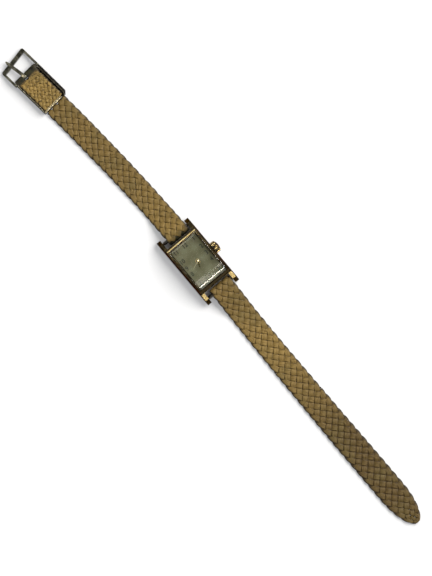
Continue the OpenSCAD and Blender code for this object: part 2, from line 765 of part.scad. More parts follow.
module barrel_arbor() color("silver")
    translate([barrel_at[0], barrel_at[1], 0]) {
        arbor_square = 0.62;
        translate([0, 0, z_bridge]) cylinder(d = arbor_pivot_d, h = z_plate + plate_t / 2 - z_bridge - skim);
        translate([0, 0, z_low + barrel_floor + skim])
            cylinder(d = arbor_core_d, h = barrel_h - 2 * barrel_floor - 2 * skim);
        translate([-arbor_square / 2, -arbor_square / 2, z_winding])
            cube([arbor_square, arbor_square, z_bridge - z_winding]);
    }

module ratchet_wheel() color("silver")
    translate([barrel_at[0], barrel_at[1], z_winding]) linear_extrude(keyless_t) difference() {
        gear_outline(ratchet_teeth, winding_m, ratchet_phase);
        square(0.62, center = true);
    }

module crown_wheel() color("silver") translate([crown_wheel_x, 0, z_winding]) {
    linear_extrude(keyless_t) difference() {
        gear_outline(crown_wheel_teeth, winding_m, 0);
        circle(d = 1.1 + 2 * run);
    }
    translate([0, 0, keyless_t]) linear_extrude(z_bridge + 0.1 - z_winding - keyless_t) difference() {
        circle(face_teeth_r + 0.2);
        circle(face_teeth_r - 0.2);
    }
    for (i = [0:crown_wheel_teeth - 1]) rotate([0, 0, (i + 0.5) * 360 / crown_wheel_teeth])
        translate([face_teeth_r - 0.2, -0.07, z_bridge + 0.1 - z_winding])
        cube([0.4, 0.14, face_top - z_bridge - 0.1]);
}

// The click holds the ratchet wheel from turning back
click_dir = 20;
click_at = polar(barrel_at, ratchet_teeth * winding_m / 2 + 1.15, click_dir);
click_post_d = 0.5;
click_nose_r = ratchet_teeth * winding_m / 2 + 0.85 * winding_m + 0.04;
module click() color("silver") translate([0, 0, z_winding]) difference() {
    nose = polar(barrel_at, click_nose_r, click_dir + 12);
    nose_end = polar(barrel_at, click_nose_r + 0.3, click_dir + 13.5);
    union() {
        translate([click_at[0], click_at[1], 0]) cylinder(d = 1.1, h = keyless_t);
        linear_extrude(keyless_t)
            polygon([click_at + [-0.5, -0.1], nose, nose_end, click_at + [0.05, 0.5]]);
    }
    translate([click_at[0], click_at[1], -1]) cylinder(d = click_post_d + 2 * run, h = far);
}

module click_spring() color("slategray") {
    foot = click_at + [0.2, -1.6];
    translate([0, 0, z_winding]) linear_extrude(keyless_t + skim) translate(foot) circle(d = 0.6);
    translate([0, 0, z_winding]) linear_extrude(keyless_t) polygon([
        foot + [0.2, 0], foot + [0.3, 0], click_at + [0.95, 0], click_at + [0.8, 0.9],
        click_at + [0.74, 0.85], click_at + [0.85, 0]]);
}

// An arbor with its two pivots: a body from z0 to z1, and pivots that reach into the jewels
module arbor(at, d, z0, z1, low, high) translate([at[0], at[1], 0]) {
    translate([0, 0, z0]) cylinder(d = d, h = z1 - z0);
    translate([0, 0, low]) cylinder(d = pivot_d, h = high - low);
}

module pinion(at, n, m, phase, z, h) translate([at[0], at[1], z]) linear_extrude(h)
    gear_outline(n, m, phase);

module centre_wheel() color("goldenrod") {
    translate([0, 0, z_train + skim]) cylinder(d = 0.5, h = z_centre - z_train);
    translate([0, 0, z_train - jewel_t + 0.05]) cylinder(d = pivot_d, h = jewel_t + skim);
    translate([0, 0, z_centre]) cylinder(d = centre_arbor_d, h = z_minute_hand + hand_t + 0.05 - z_centre);
    pinion([0, 0], centre_pinion_teeth, barrel_m, centre_pinion_phase, z_low - 0.02, 0.3);
    translate([0, 0, z_centre]) linear_extrude(wheel_t)
        wheel_outline(centre_teeth, centre_m, 0, 0.7);
}

module third_wheel() color("goldenrod") {
    arbor(third_at, 0.4, z_train + skim, z_plate - skim, z_train - jewel_t + 0.05, z_plate + jewel_t - 0.05);
    pinion(third_at, third_pinion_teeth, centre_m, third_pinion_phase, z_centre - 0.05, 0.25);
    translate([third_at[0], third_at[1], z_third]) linear_extrude(wheel_t)
        wheel_outline(third_teeth, third_m, 0, 0.6);
}

module fourth_wheel() color("goldenrod") {
    arbor(fourth_at, 0.4, z_train + skim, z_plate - skim, z_train - jewel_t + 0.05, z_plate + jewel_t - 0.05);
    pinion(fourth_at, fourth_pinion_teeth, third_m, fourth_pinion_phase, z_third - 0.05, 0.25);
    translate([fourth_at[0], fourth_at[1], z_low + 0.05]) linear_extrude(wheel_t)
        wheel_outline(fourth_teeth, fourth_m, 0, 0.5);
}

module escape_wheel() color("silver") {
    lean = 8;
    tooth_l = 0.35;
    tooth_w = 5;
    arbor(escape_at, 0.3, z_train + skim, z_plate - skim, z_train - jewel_t + 0.05, z_plate + jewel_t - 0.05);
    pinion(escape_at, escape_pinion_teeth, fourth_m, escape_pinion_phase, z_low, 0.25);
    translate([escape_at[0], escape_at[1], z_lever]) linear_extrude(wheel_t) difference() {
        polygon([for (i = [0:escape_teeth - 1], k = [0:2])
            let (a = lever_dir + 360 / escape_teeth * (i + 0.5) + [-tooth_w, lean, tooth_w][k],
                r = escape_r - (k == 1 ? 0 : tooth_l))
            r * [cos(a), sin(a)]]);
        difference() {
            circle(escape_r - tooth_l - 0.25);
            circle(0.3);
            square([2 * escape_r, 0.2], center = true);
            square([0.2, 2 * escape_r], center = true);
        }
    }
}

// The pallets stop just short of the escape wheel's teeth, and the fork short of the roller's pin
pallet_clear = 0.05;
module pallet_fork() color("silver") {
    fork_reach = balance_dist - pallet_dist - 0.52 * plan;
    arbor(pallet_at, 0.3, z_pallet_cock + pallet_cock_t + skim, z_plate - skim,
        z_pallet_cock + 0.03, z_plate + jewel_t - 0.05);
    translate([0, 0, z_lever]) linear_extrude(wheel_t) difference() {
        translate(pallet_at) rotate(lever_dir) union() {
            circle(0.3);
            translate([0, -0.1]) square([fork_reach - 0.25, 0.2]);
            translate([fork_reach - 0.45, -0.3]) square([0.45, 0.6]);
            rotate(118) translate([0, -0.11]) square([plan, 0.22]);
            rotate(-118) translate([0, -0.11]) square([plan, 0.22]);
        }
        translate(pallet_at) rotate(lever_dir) translate([fork_reach - 0.22, -0.13])
            square([1, 0.26]);
        translate(escape_at) circle(escape_r + pallet_clear);
    }
}

module balance_wheel() color("goldenrod") translate([balance_at[0], balance_at[1], 0]) {
    z_rim = z_train + 0.35;
    rim_t = 0.25;
    rim_w = 0.35;
    arm_w = 0.35;
    rim_d = balance_d * plan;
    pin_r = 0.36 * plan;
    arbor([0, 0], 0.3, z_train + skim, z_plate - skim, z_train - jewel_t + 0.05, z_plate + jewel_t - 0.05);
    translate([0, 0, z_rim]) linear_extrude(rim_t) {
        difference() {
            circle(d = rim_d);
            circle(d = rim_d - 2 * rim_w);
        }
        circle(0.6);
        square([rim_d - rim_w, arm_w], center = true);
    }
    translate([0, 0, z_plate - 0.3]) cylinder(r = 0.5, h = 0.12);
    translate([pin_r * cos(lever_dir + 180), pin_r * sin(lever_dir + 180), z_lever])
        cylinder(r = 0.08, h = z_plate - 0.25 - z_lever);
}

module hairspring() color("steelblue")
    translate([balance_at[0], balance_at[1], z_train + 0.1]) {
        turns = 8;
        linear_extrude(0.12)
            polygon(spiral_points(0.36, 1.5, turns, 0.04, turns * 24));
        linear_extrude(0.12) difference() {
            circle(0.4);
            circle(0.15 + run);
        }
        translate([1.5, 0, -0.1]) cylinder(r = 0.12, h = 0.22);
    }

module cannon_pinion() color("silver") translate([0, 0, z_lower_gear - 0.02]) difference() {
    union() {
        cylinder(d = cannon_d, h = z_minute_hand + hand_t - z_lower_gear + 0.02);
        linear_extrude(0.2) gear_outline(cannon_teeth, motion_m, 0);
    }
    translate([0, 0, -1]) cylinder(d = centre_arbor_d + 2 * run, h = far);
}

module minute_wheel() color("goldenrod") translate([minute_at[0], minute_at[1], 0]) difference() {
    union() {
        translate([0, 0, z_lower_gear]) linear_extrude(wheel_t)
            gear_outline(minute_teeth, motion_m, minute_phase);
        translate([0, 0, z_lower_gear + wheel_t]) linear_extrude(0.2)
            gear_outline(minute_pinion_teeth, hour_m, 0);
    }
    translate([0, 0, z_motion - 1]) cylinder(d = post_d + 2 * run, h = far);
}

module hour_wheel() color("goldenrod") difference() {
    union() {
        translate([0, 0, z_upper_gear + 0.02]) linear_extrude(wheel_t - 0.02)
            gear_outline(hour_teeth, hour_m, hour_phase);
        translate([0, 0, z_upper_gear + 0.02])
            cylinder(d = hour_pipe_d, h = z_hour_hand + hand_t - z_upper_gear - 0.02);
    }
    translate([0, 0, z_motion]) cylinder(d = cannon_d + 2 * run, h = far);
}

// Spring bars: a tube between the lugs, and a sliding nose at each end
tube_end = lug_gap / 2 - 0.25;
tube_bore_d = bar_nose_d + 0.2;
module bar_tube(y) color("silver") difference() {
    bar_x(bar_tube_d / 2, -tube_end, tube_end, y, bar_z);
    bar_x(tube_bore_d / 2, -far, far, y, bar_z);
}

module bar_tip(y, side) color("silver") mirror([side < 0 ? 1 : 0, 0, 0]) {
    bar_x(tube_bore_d / 2 - run, lug_gap / 2 - 2.2, lug_gap / 2 - 0.08, y, bar_z);
    bar_x(bar_nose_d / 2, lug_gap / 2 - 0.08, lug_gap / 2 + bar_nose_in, y, bar_z);
}

// The strap's bend lines, from the spring bar on: how far to the side of the case axis, the
// heading and the change of width. Heading 0 points to twelve.
buckle_side = [0, -0.2, -0.9, -1.9, -3.1];
buckle_heading = [0, 1.5, 2.6, 3.6, buckle_turn];
buckle_widen = [0, -0.1, 0, 0.1, 0.1];
tail_side = [0, -0.35, -0.6, -0.65, -0.65, -0.6, -0.5];
tail_heading = [180, 178.8, 179.5, 180, 180, 180.5, 180.3];
tail_widen = [0.1, 0.1, 0.3, 0.6, 0.9];
tail_narrow = 0.1;
last_extra = 0.4;

// Distance of bend line i from its spring bar
function bend_dist(i) = i == 0 ? 0 : first_l + (i - 1) * stretch_l;

// Each bend line: its place in plan, heading and width
buckle_bends = [for (i = [0:4]) [
    strap_shift + buckle_side[i], bar_y + bend_dist(i) + (i == 4 ? last_extra : 0),
    buckle_heading[i], strap_w + buckle_widen[i]]];
tail_bends = [for (i = [0:6]) [
    strap_shift + tail_side[i], -bar_y - bend_dist(i), tail_heading[i],
    i < 5 ? strap_w + tail_widen[i] : tail_w - (6 - i) * tail_narrow]];
bend_r = strap_t / 2;

// The two corners of a bend line, left and right of the heading
function left_of(b) = [b[0], b[1]] - b[3] / 2 * [cos(b[2]), sin(b[2])];
function right_of(b) = [b[0], b[1]] + b[3] / 2 * [cos(b[2]), sin(b[2])];

// A rod along a bend line, longer than the line by extra at each end
module bend_rod(b, r, extra, z) translate([b[0], b[1], z]) rotate([0, 0, b[2]])
    translate([-b[3] / 2 - extra, 0, 0]) rotate([0, 90, 0]) cylinder(r = r, h = b[3] + 2 * extra);

module plan_between(a, b) polygon([left_of(a), right_of(a), right_of(b), left_of(b)]);

// How far a round end stays inside the faces that it runs into
shy = 0.02;

// A flat flexing stretch: its start is round, and its end has the hollow for the next one
module flat_stretch(a, b) color("tan") difference() {
    union() {
        linear_extrude(strap_t) plan_between(a, b);
        bend_rod(a, bend_r - shy, -shy, bend_r);
    }
    bend_rod(b, bend_r + bend_gap, 1, bend_r);
}

// Heights of the strap's upper and lower face along the stretch that turns round a spring bar
loop_bore_r = bar_tube_d / 2 + 0.05;
loop_r = loop_bore_r + loop_t;
function ease(u, l) = u >= l ? 0 : (1 + cos(180 * u / l)) / 2;
function upper_face(u) = strap_t + (bar_z + loop_r - shy - strap_t) * ease(u, fall_l);
function lower_face(u) = (bar_z - loop_r + shy) * ease(u, under_fall_l);

module loop_stretch(a, b) color("tan") difference() {
    len_ab = norm([b[0] - a[0], b[1] - a[1]]);
    steps = 15;
    union() {
        intersection() {
            linear_extrude(far) plan_between(a, b);
            translate([a[0], a[1], 0]) rotate([0, 0, a[2]]) along_x(far, -far / 2) polygon(concat(
                [for (i = [0:steps]) let (u = (len_ab + 1) * i / steps) [u, upper_face(u)]],
                [for (i = [steps:-1:0]) let (u = (len_ab + 1) * i / steps) [u, lower_face(u)]]));
        }
        bend_rod(a, loop_r, -shy, bar_z);
    }
    bend_rod(a, loop_bore_r, 1, bar_z);
    bend_rod(b, bend_r + bend_gap, 1, bend_r);
}

// The tail's last stretch ends in a round tip
module tip_stretch(a) color("tan") {
    points = 18;
    straight = tip_l - tip_round;
    union() {
        translate([a[0], a[1], 0]) rotate([0, 0, a[2]]) linear_extrude(strap_t) polygon(concat(
            [[-a[3] / 2, 0], [-tail_w / 2, straight]],
            [for (i = [1:points - 1]) let (t = -90 + 180 * i / points)
                [tail_w / 2 * sin(t), straight + tip_round * cos(t)]],
            [[tail_w / 2, straight], [a[3] / 2, 0]]));
        bend_rod(a, bend_r - shy, -shy, bend_r);
    }
}

// The buckle end: everything is drawn from the bar's axis, with the strap's heading along Y
hinge_at = [buckle_bends[4][0], buckle_bends[4][1]]
    + end_l * [-sin(buckle_turn), cos(buckle_turn)];
hinge_bore_r = hinge_d / 2 + 0.05;
hinge_loop_r = hinge_bore_r + 0.78;
hinge_z = sleeve_floor + run + hinge_loop_r;
sleeve_end = -1.5;
mouth = sleeve_end - sleeve_l;
inner_w = sleeve_w - sleeve_band - sleeve_wide_band;
sleeve_from = -inner_w / 2 - sleeve_band;
sleeve_to = inner_w / 2 + sleeve_wide_band;
frame_from = -frame_w / 2 + 0.2;
frame_to = frame_w / 2 + 0.2;
function frame_edge(x) = frame_l - (frame_to - x) * tan(frame_slant);
fold_gap = 0.1;
fold_w = min(inner_w - 2 * fold_gap, -2 * (frame_from + frame_arm) - fold_gap);
tongue_skew = 6.4;
slot_gap = 0.2;
module at_hinge() translate([hinge_at[0], hinge_at[1], 0]) rotate([0, 0, buckle_turn]) children();

// The slot in the fold that the tongue's ring turns in
module tongue_slot() translate([-tongue_at - tongue_w / 2 - slot_gap, -2.6, -1])
    cube([tongue_w + 2 * slot_gap, far, far]);

module end_stretch(a) color("tan") {
    fold_top = hinge_z + hinge_loop_r - shy;
    inside_z = sleeve_floor + run + shy;
    difference() {
        union() {
            linear_extrude(strap_t) plan_between(a,
                [a[0] - (end_l + mouth - fold_gap) * sin(a[2]),
                    a[1] + (end_l + mouth - fold_gap) * cos(a[2]), a[2], a[3]]);
            bend_rod(a, bend_r - shy, -shy, bend_r);
            at_hinge() {
                translate([-a[3] / 2, mouth - fold_gap - 0.5, inside_z])
                    cube([a[3], lip_w + fold_gap + 0.7, strap_t - inside_z]);
                translate([-fold_w / 2, mouth + lip_w + fold_gap, inside_z])
                    cube([fold_w, -mouth - lip_w - fold_gap, fold_top - inside_z]);
                translate([-fold_w / 2, 0, hinge_z]) rotate([0, 90, 0])
                    cylinder(r = hinge_loop_r, h = fold_w);
            }
        }
        at_hinge() {
            translate([-far / 2, 0, hinge_z]) rotate([0, 90, 0]) cylinder(r = hinge_bore_r, h = far);
            tongue_slot();
        }
    }
}

module sleeve() color("peru") at_hinge() {
    corner = 0.4;
    wide_corner = 1.1;
    difference() {
        linear_extrude(sleeve_h) polygon([
            [sleeve_from, mouth + corner], [sleeve_from + corner, mouth],
            [sleeve_to - wide_corner, mouth], [sleeve_to, mouth + wide_corner],
            [sleeve_to, sleeve_end], [sleeve_from, sleeve_end]]);
        translate([-inner_w / 2, mouth - 1, sleeve_floor]) cube([inner_w, sleeve_l + 2, far]);
        tongue_slot();
    }
    translate([sleeve_from + corner, mouth, strap_t + run])
        cube([sleeve_to - sleeve_from - corner - wide_corner, lip_w, sleeve_h - strap_t - run]);
}

// Seen from the side: an arm of the frame, from its eye down to the outer bar on the ground
ear_r = 0.85;
frame_bar_h = 1.5;
module frame_arm_outline(x) {
    inside = frame_edge(x + frame_arm / 2) - frame_bar;
    polygon([[0, hinge_z + ear_r], [2.6, hinge_z + ear_r - 0.05], [inside, frame_bar_h],
        [inside + frame_bar / 2, frame_bar_h], [inside + frame_bar / 2, 0], [inside - 0.8, 0],
        [2.6, hinge_z - ear_r + 0.1], [0, hinge_z - ear_r]]);
    translate([0, hinge_z]) circle(ear_r);
}

// Seen from above: the slanted outer bar
module frame_bar_plan() {
    corner = 0.5;
    polygon([[frame_from, frame_edge(frame_from) - frame_bar], [frame_to, frame_l - frame_bar],
        [frame_to, frame_l - corner], [frame_to - corner, frame_edge(frame_to - corner)],
        [frame_from + corner, frame_edge(frame_from + corner)],
        [frame_from, frame_edge(frame_from) - corner]]);
}

module buckle_frame() color("darkkhaki") at_hinge() {
    difference() {
        union() {
            for (x = [frame_from, frame_to - frame_arm]) along_x(frame_arm, x) frame_arm_outline(x);
            linear_extrude(frame_bar_h) frame_bar_plan();
        }
        translate([-far / 2, 0, hinge_z]) rotate([0, 90, 0]) cylinder(d = hinge_d, h = far);
    }
}

module buckle_bar() color("silver") at_hinge()
    translate([frame_from, 0, hinge_z]) rotate([0, 90, 0]) cylinder(d = hinge_d, h = frame_w);

module buckle_tongue() color("goldenrod") at_hinge() {
    ring_r = 0.95;
    tongue_gap = 0.03;
    rest_z = frame_bar_h + tongue_gap;
    bar_far = frame_edge(-tongue_at - tongue_l * tan(tongue_skew) * 0.8);
    bar_near = bar_far - frame_bar;
    tip_x = -tongue_at - tongue_l * tan(tongue_skew);
    difference() {
        union() {
            translate([-tongue_at - tongue_w / 2, 0, hinge_z]) rotate([0, 90, 0])
                cylinder(r = ring_r, h = tongue_w);
            intersection() {
                along_x(far, -far / 2) polygon([
                    [0, hinge_z + ring_r], [1.2, hinge_z + ring_r + 0.03], [bar_far - 0.6, rest_z + 0.75],
                    [tongue_l, rest_z + 0.25], [tongue_l, rest_z + 0.02],
                    [bar_near - 0.4, rest_z + 0.02],
                    [1.4, hinge_z + 0.25], [0, hinge_z]]);
                linear_extrude(far) polygon([
                    [-tongue_at - tongue_w / 2, -0.5], [-tongue_at + tongue_w / 2, -0.5],
                    [-tongue_at + tongue_w / 2, 0.9],
                    [tip_x + 0.62, tongue_l - 1.2], [tip_x + 0.2, tongue_l],
                    [tip_x - 0.2, tongue_l], [tip_x - 0.55, tongue_l - 1.2],
                    [-tongue_at - tongue_w / 2, 0.9]]);
            }
        }
        translate([-far / 2, 0, hinge_z]) rotate([0, 90, 0]) cylinder(r = hinge_bore_r, h = far);
    }
}

case_middle();
case_back();
bezel();
crystal();
dial();
hour_hand();
minute_hand();
crown();
winding_stem();
winding_pinion();
clutch_wheel();
setting_lever();
setting_wheel();
mainplate();
barrel_bridge();
train_bridge();
balance_cock();
pallet_cock();
movement_screws();
jewels();
barrel();
barrel_cover();
mainspring();
barrel_arbor();
ratchet_wheel();
crown_wheel();
click();
click_spring();
centre_wheel();
third_wheel();
fourth_wheel();
escape_wheel();
pallet_fork();
balance_wheel();
hairspring();
cannon_pinion();
minute_wheel();
hour_wheel();
bar_tube(bar_y);  // spring_bar_12
bar_tip(bar_y, 1);  // spring_bar_12_tip_crown_side
bar_tip(bar_y, -1);  // spring_bar_12_tip_far_side
bar_tube(-bar_y);  // spring_bar_6
bar_tip(-bar_y, 1);  // spring_bar_6_tip_crown_side
bar_tip(-bar_y, -1);  // spring_bar_6_tip_far_side
loop_stretch(buckle_bends[0], buckle_bends[1]);  // buckle_strap_1
flat_stretch(buckle_bends[1], buckle_bends[2]);  // buckle_strap_2
flat_stretch(buckle_bends[2], buckle_bends[3]);  // buckle_strap_3
flat_stretch(buckle_bends[3], buckle_bends[4]);  // buckle_strap_4
end_stretch(buckle_bends[4]);  // buckle_strap_5
loop_stretch(tail_bends[0], tail_bends[1]);  // tail_strap_1
flat_stretch(tail_bends[1], tail_bends[2]);  // tail_strap_2
flat_stretch(tail_bends[2], tail_bends[3]);  // tail_strap_3
flat_stretch(tail_bends[3], tail_bends[4]);  // tail_strap_4
flat_stretch(tail_bends[4], tail_bends[5]);  // tail_strap_5
flat_stretch(tail_bends[5], tail_bends[6]);  // tail_strap_6
tip_stretch(tail_bends[6]);  // tail_strap_7
sleeve();
buckle_frame();
buckle_bar();
buckle_tongue();
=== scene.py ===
import math

import bpy
import numpy as np
from mathutils import Matrix, Vector


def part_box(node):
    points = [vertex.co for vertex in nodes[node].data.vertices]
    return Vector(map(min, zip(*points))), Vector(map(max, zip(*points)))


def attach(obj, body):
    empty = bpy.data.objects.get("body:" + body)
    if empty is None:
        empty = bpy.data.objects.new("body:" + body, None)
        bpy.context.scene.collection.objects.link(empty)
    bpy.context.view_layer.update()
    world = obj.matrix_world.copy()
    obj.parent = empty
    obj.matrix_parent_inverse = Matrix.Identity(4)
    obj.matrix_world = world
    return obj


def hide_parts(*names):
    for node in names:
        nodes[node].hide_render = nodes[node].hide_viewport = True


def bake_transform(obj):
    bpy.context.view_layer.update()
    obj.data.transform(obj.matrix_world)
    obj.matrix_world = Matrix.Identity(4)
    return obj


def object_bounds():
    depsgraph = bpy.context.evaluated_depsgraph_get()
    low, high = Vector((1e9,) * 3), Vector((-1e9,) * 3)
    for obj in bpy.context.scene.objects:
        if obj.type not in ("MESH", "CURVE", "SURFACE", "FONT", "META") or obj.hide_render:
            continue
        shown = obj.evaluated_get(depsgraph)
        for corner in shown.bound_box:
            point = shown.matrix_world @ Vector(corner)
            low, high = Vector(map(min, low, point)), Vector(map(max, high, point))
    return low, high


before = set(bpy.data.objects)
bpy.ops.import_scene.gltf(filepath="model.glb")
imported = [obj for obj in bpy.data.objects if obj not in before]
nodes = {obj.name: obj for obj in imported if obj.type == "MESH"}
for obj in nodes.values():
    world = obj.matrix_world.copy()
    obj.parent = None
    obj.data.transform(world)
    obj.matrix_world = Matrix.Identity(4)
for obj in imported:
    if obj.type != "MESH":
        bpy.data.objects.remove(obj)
cad_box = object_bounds()

# The case middle is one milled block of rolled gold plate: a body with stepped ends between two
# rails that run out into the lugs. Its sides, its body and the lugs beside the twelve are painted
# dark brown as shade, and the lugs beside the six keep their gilt.
MM = 0.001
gold_new = (0.86, 0.69, 0.34)
gold_old = (0.62, 0.46, 0.20)
# Painted shade: the dark tones of gilt that faces sideways; the brown one is also the crown's grime
gold_side_shade = (0.012, 0.008, 0.004)
gold_brown_shade_and_grime = (0.045, 0.028, 0.011)
gold_grazing = (0.42, 0.30, 0.15, 1)
# Where the painted shade begins on the body and on the lugs beside the twelve
shade_body_ends = (10.4 * MM, 10.8 * MM)
shade_lugs_from = (10.6 * MM, 11.4 * MM)
case_edge = 0.07 * MM
weld_gap = 0.001 * MM
flat_turn = math.radians(1)
corner_turn = math.radians(30)


class Wire:
    """What a socket of a material gives. Sums on it add Math nodes, and node() adds any other."""

    def __init__(self, tree, socket=None):
        self.tree = tree
        self.socket = socket

    def node(self, kind, settings=None, sockets=None, out=0):
        """A node by its type, with its settings first and then its sockets' values or wires"""
        made = self.tree.nodes.new("ShaderNode" + kind)
        for name, value in (settings or {}).items():
            setattr(made, name, value)
        for name, value in (sockets or {}).items():
            if isinstance(value, Wire):
                self.tree.links.new(value.socket, made.inputs[name])
            else:
                made.inputs[name].default_value = value
        return Wire(self.tree, made.outputs[out])

    def sums(self, operation, *values):
        return self.node("Math", {"operation": operation}, dict(enumerate(values)))

    def __add__(self, other):
        return self.sums("ADD", self, other)

    def __sub__(self, other):
        return self.sums("SUBTRACT", self, other)

    def __rsub__(self, other):
        return self.sums("SUBTRACT", other, self)

    def __mul__(self, other):
        return self.sums("MULTIPLY", self, other)

    def __abs__(self):
        return self.sums("ABSOLUTE", self)

    __radd__ = __add__
    __rmul__ = __mul__

    def axis(self, name):
        """One number of a vector: X, Y or Z"""
        return self.node("SeparateXYZ", None, {"Vector": self}, name)

    def stored(self, name):
        """A vector that the mesh keeps at its points"""
        return self.node("Attribute", {"attribute_name": name}, None, "Vector")

    def mix(self, low, high):
        """low where this is 0, high where it is 1. Sockets 6 and 7 are the node's two colours."""
        low, high = ((*shade, 1) if isinstance(shade, tuple) else shade for shade in (low, high))
        return self.node("Mix", {"data_type": "RGBA"}, {0: self, 6: low, 7: high}, 2)

    def rise(self, low, high):
        """0 below low and 1 above high, smooth between them"""
        return self.node("MapRange", {"interpolation_type": "SMOOTHSTEP"},
                         {"Value": self, "From Min": low, "From Max": high})

    def noise(self, place, scale, detail=3.0):
        """Even clouds, from 0 to 1"""
        return self.node("TexNoise", None, {"Vector": place, "Scale": scale, "Detail": detail})

    def grain(self, place, scale, detail=2.0):
        """Noise that is stretched by its own scale along each axis"""
        stretched = self.node("Mapping", None, {"Vector": place, "Scale": scale})
        return self.noise(stretched, 1.0, detail)

    def bump(self, height, depth, strength=1.0):
        """A normal that tilts as a surface of this height and depth would"""
        return self.node("Bump", None, {"Height": height, "Distance": depth, "Strength": strength})


def finish(name, make):
    """A material by name: make is given a wire and the place, and gives the shader's sockets."""
    material = bpy.data.materials.new(name)
    material.use_nodes = True
    tree = material.node_tree
    shader = tree.nodes["Principled BSDF"]
    wire = Wire(tree)
    for socket, value in make(wire, wire.node("TexCoord", out="Object")).items():
        if isinstance(value, Wire):
            tree.links.new(value.socket, shader.inputs[socket])
        else:
            shader.inputs[socket].default_value = value
    return material


def dress(node, material, edge=0.0):
    """A CAD node keeps its shape: it gets the material, and its sharp corners are broken."""
    piece = nodes[node]
    for place in piece.material_slots:
        place.material = material
    if edge:
        piece.modifiers.new("weld", "WELD").merge_threshold = weld_gap
        flat = piece.modifiers.new("flat", "DECIMATE")
        flat.decimate_type = "DISSOLVE"
        flat.angle_limit = flat_turn
        bevel = piece.modifiers.new("bevel", "BEVEL")
        bevel.width = edge
        bevel.segments = 2
        bevel.angle_limit = corner_turn
        bevel.harden_normals = True


def gilt(wire, place):
    """Bright where it faces up or to the ends, and painted dark brown as shade on its long sides"""
    rubbed = wire.noise(place, 260.0)
    hairlines = wire.grain(place, (5000.0, 500.0, 5000.0))
    normal = wire.node("TexCoord", out="Normal")
    # Painted shade: faces that turn sideways, most of all on the long sides, go dark brown
    side_shade = abs(normal.axis("X")).rise(0.06, 0.30)
    # Gilt shows where a face points up, out of the painted shade, with random rubs
    worn = (normal.axis("Z") + rubbed * 0.16).rise(0.72, 0.96) * (1.0 - side_shade)
    return {
        "Base Color": worn.mix(rubbed.rise(0.3, 0.7).mix(gold_side_shade, gold_brown_shade_and_grime),
                               rubbed.rise(0.35, 0.65).mix(gold_old, gold_new)),
        "Metallic": 1.0,
        "Specular Tint": gold_grazing,
        "Roughness": rubbed * 0.12 + hairlines * 0.06 + 0.12,
        "Normal": wire.bump(hairlines, 0.001 * MM, 0.3),
    }


def shade_painted_gilt(wire, place):
    """The same, with painted shade in brown round the bezel and on the lugs beside the twelve"""
    sockets = gilt(wire, place)
    along = place.axis("Y")
    # Painted shade: brown over the body round the bezel and over the lugs beside the twelve
    body = 1.0 - abs(along).rise(*shade_body_ends)
    far_lug_shade = along.rise(*shade_lugs_from)
    brown = wire.noise(place, 400.0).rise(0.35, 0.65).mix(gold_side_shade, gold_brown_shade_and_grime)
    sockets["Base Color"] = (body * 0.9 + far_lug_shade * 0.7).mix(sockets["Base Color"], brown)
    return sockets


dress("case_middle", finish("case_gilt", shade_painted_gilt), case_edge)

# The case back is a pressed plate of stainless steel, snapped into the case middle. Years on a
# wrist have brushed it dull, with long scratches across.
back_tones = ((0.42, 0.40, 0.37), (0.60, 0.59, 0.56))
back_edge = 0.06 * MM


def back_steel(wire, place):
    """Brushed across, with a few longer scratches"""
    brushed = wire.grain(place, (300.0, 6000.0, 300.0), 3.0)
    scratches = wire.grain(place, (7000.0, 260.0, 900.0), 1.0).rise(0.62, 0.70)
    return {
        "Base Color": brushed.mix(*back_tones),
        "Metallic": 1.0,
        "Roughness": brushed * 0.25 + scratches * 0.15 + 0.18,
        "Normal": wire.bump(brushed - scratches, 0.004 * MM, 0.6),
    }


dress("case_back", finish("back_steel", back_steel), back_edge)

# The movement lies under the dial: nickelled plates and bridges, brass wheels, blued screws and
# springs, polished steel winding parts and ruby bearings. It shows when the case is opened.
nickel_tones = ((0.55, 0.53, 0.48), (0.74, 0.72, 0.66))
brass_tones = ((0.58, 0.40, 0.15), (0.82, 0.62, 0.28))
steel_tones = ((0.45, 0.45, 0.45), (0.68, 0.68, 0.67))
blue_tones = ((0.02, 0.05, 0.30), (0.08, 0.10, 0.48))
ruby_tones = ((0.42, 0.01, 0.03), (0.75, 0.05, 0.10))
plate_edge = 0.03 * MM


def nickel(wire, place):
    """Striped by the finishing wheel, with a fine frost between"""
    stripes = wire.node("TexWave", {"bands_direction": "DIAGONAL"},
                        {"Vector": place, "Scale": 260.0, "Distortion": 0.6, "Detail": 1.0})
    frosted = wire.noise(place, 9000.0, 2.0)
    return {
        "Base Color": stripes.mix(*nickel_tones),
        "Metallic": 1.0,
        "Roughness": stripes * 0.12 + frosted * 0.12 + 0.20,
        "Normal": wire.bump(stripes + frosted * 0.2, 0.004 * MM),
    }


def brass(wire, place):
    """Turned brass, tarnished in clouds"""
    tarnish = wire.noise(place, 800.0, 4.0)
    turned = wire.noise(place, 7000.0, 1.0)
    return {
        "Base Color": tarnish.mix(*brass_tones),
        "Metallic": 1.0,
        "Roughness": tarnish * 0.18 + turned * 0.05 + 0.16,
        "Normal": wire.bump(turned, 0.002 * MM, 0.4),
    }


def steel(wire, place):
    """Polished steel with a fine upright grain"""
    grain = wire.grain(place, (5000.0, 5000.0, 700.0), 3.0)
    return {
        "Base Color": grain.mix(*steel_tones),
        "Metallic": 1.0,
        "Roughness": grain * 0.2 + 0.14,
        "Normal": wire.bump(grain, 0.002 * MM, 0.5),
    }


def blued_steel(wire, place):
    """Steel that was heated until it turned blue"""
    shade = wire.noise(place, 1200.0, 2.0)
    return {
        "Base Color": shade.mix(*blue_tones),
        "Metallic": 1.0,
        "Roughness": shade * 0.1 + 0.16,
    }


def ruby(wire, place):
    """Polished bearing stone"""
    cloud = wire.noise(place, 1500.0, 2.0)
    return {
        "Base Color": cloud.mix(*ruby_tones),
        "Roughness": cloud * 0.1 + 0.05,
        "Coat Weight": 0.6,
    }


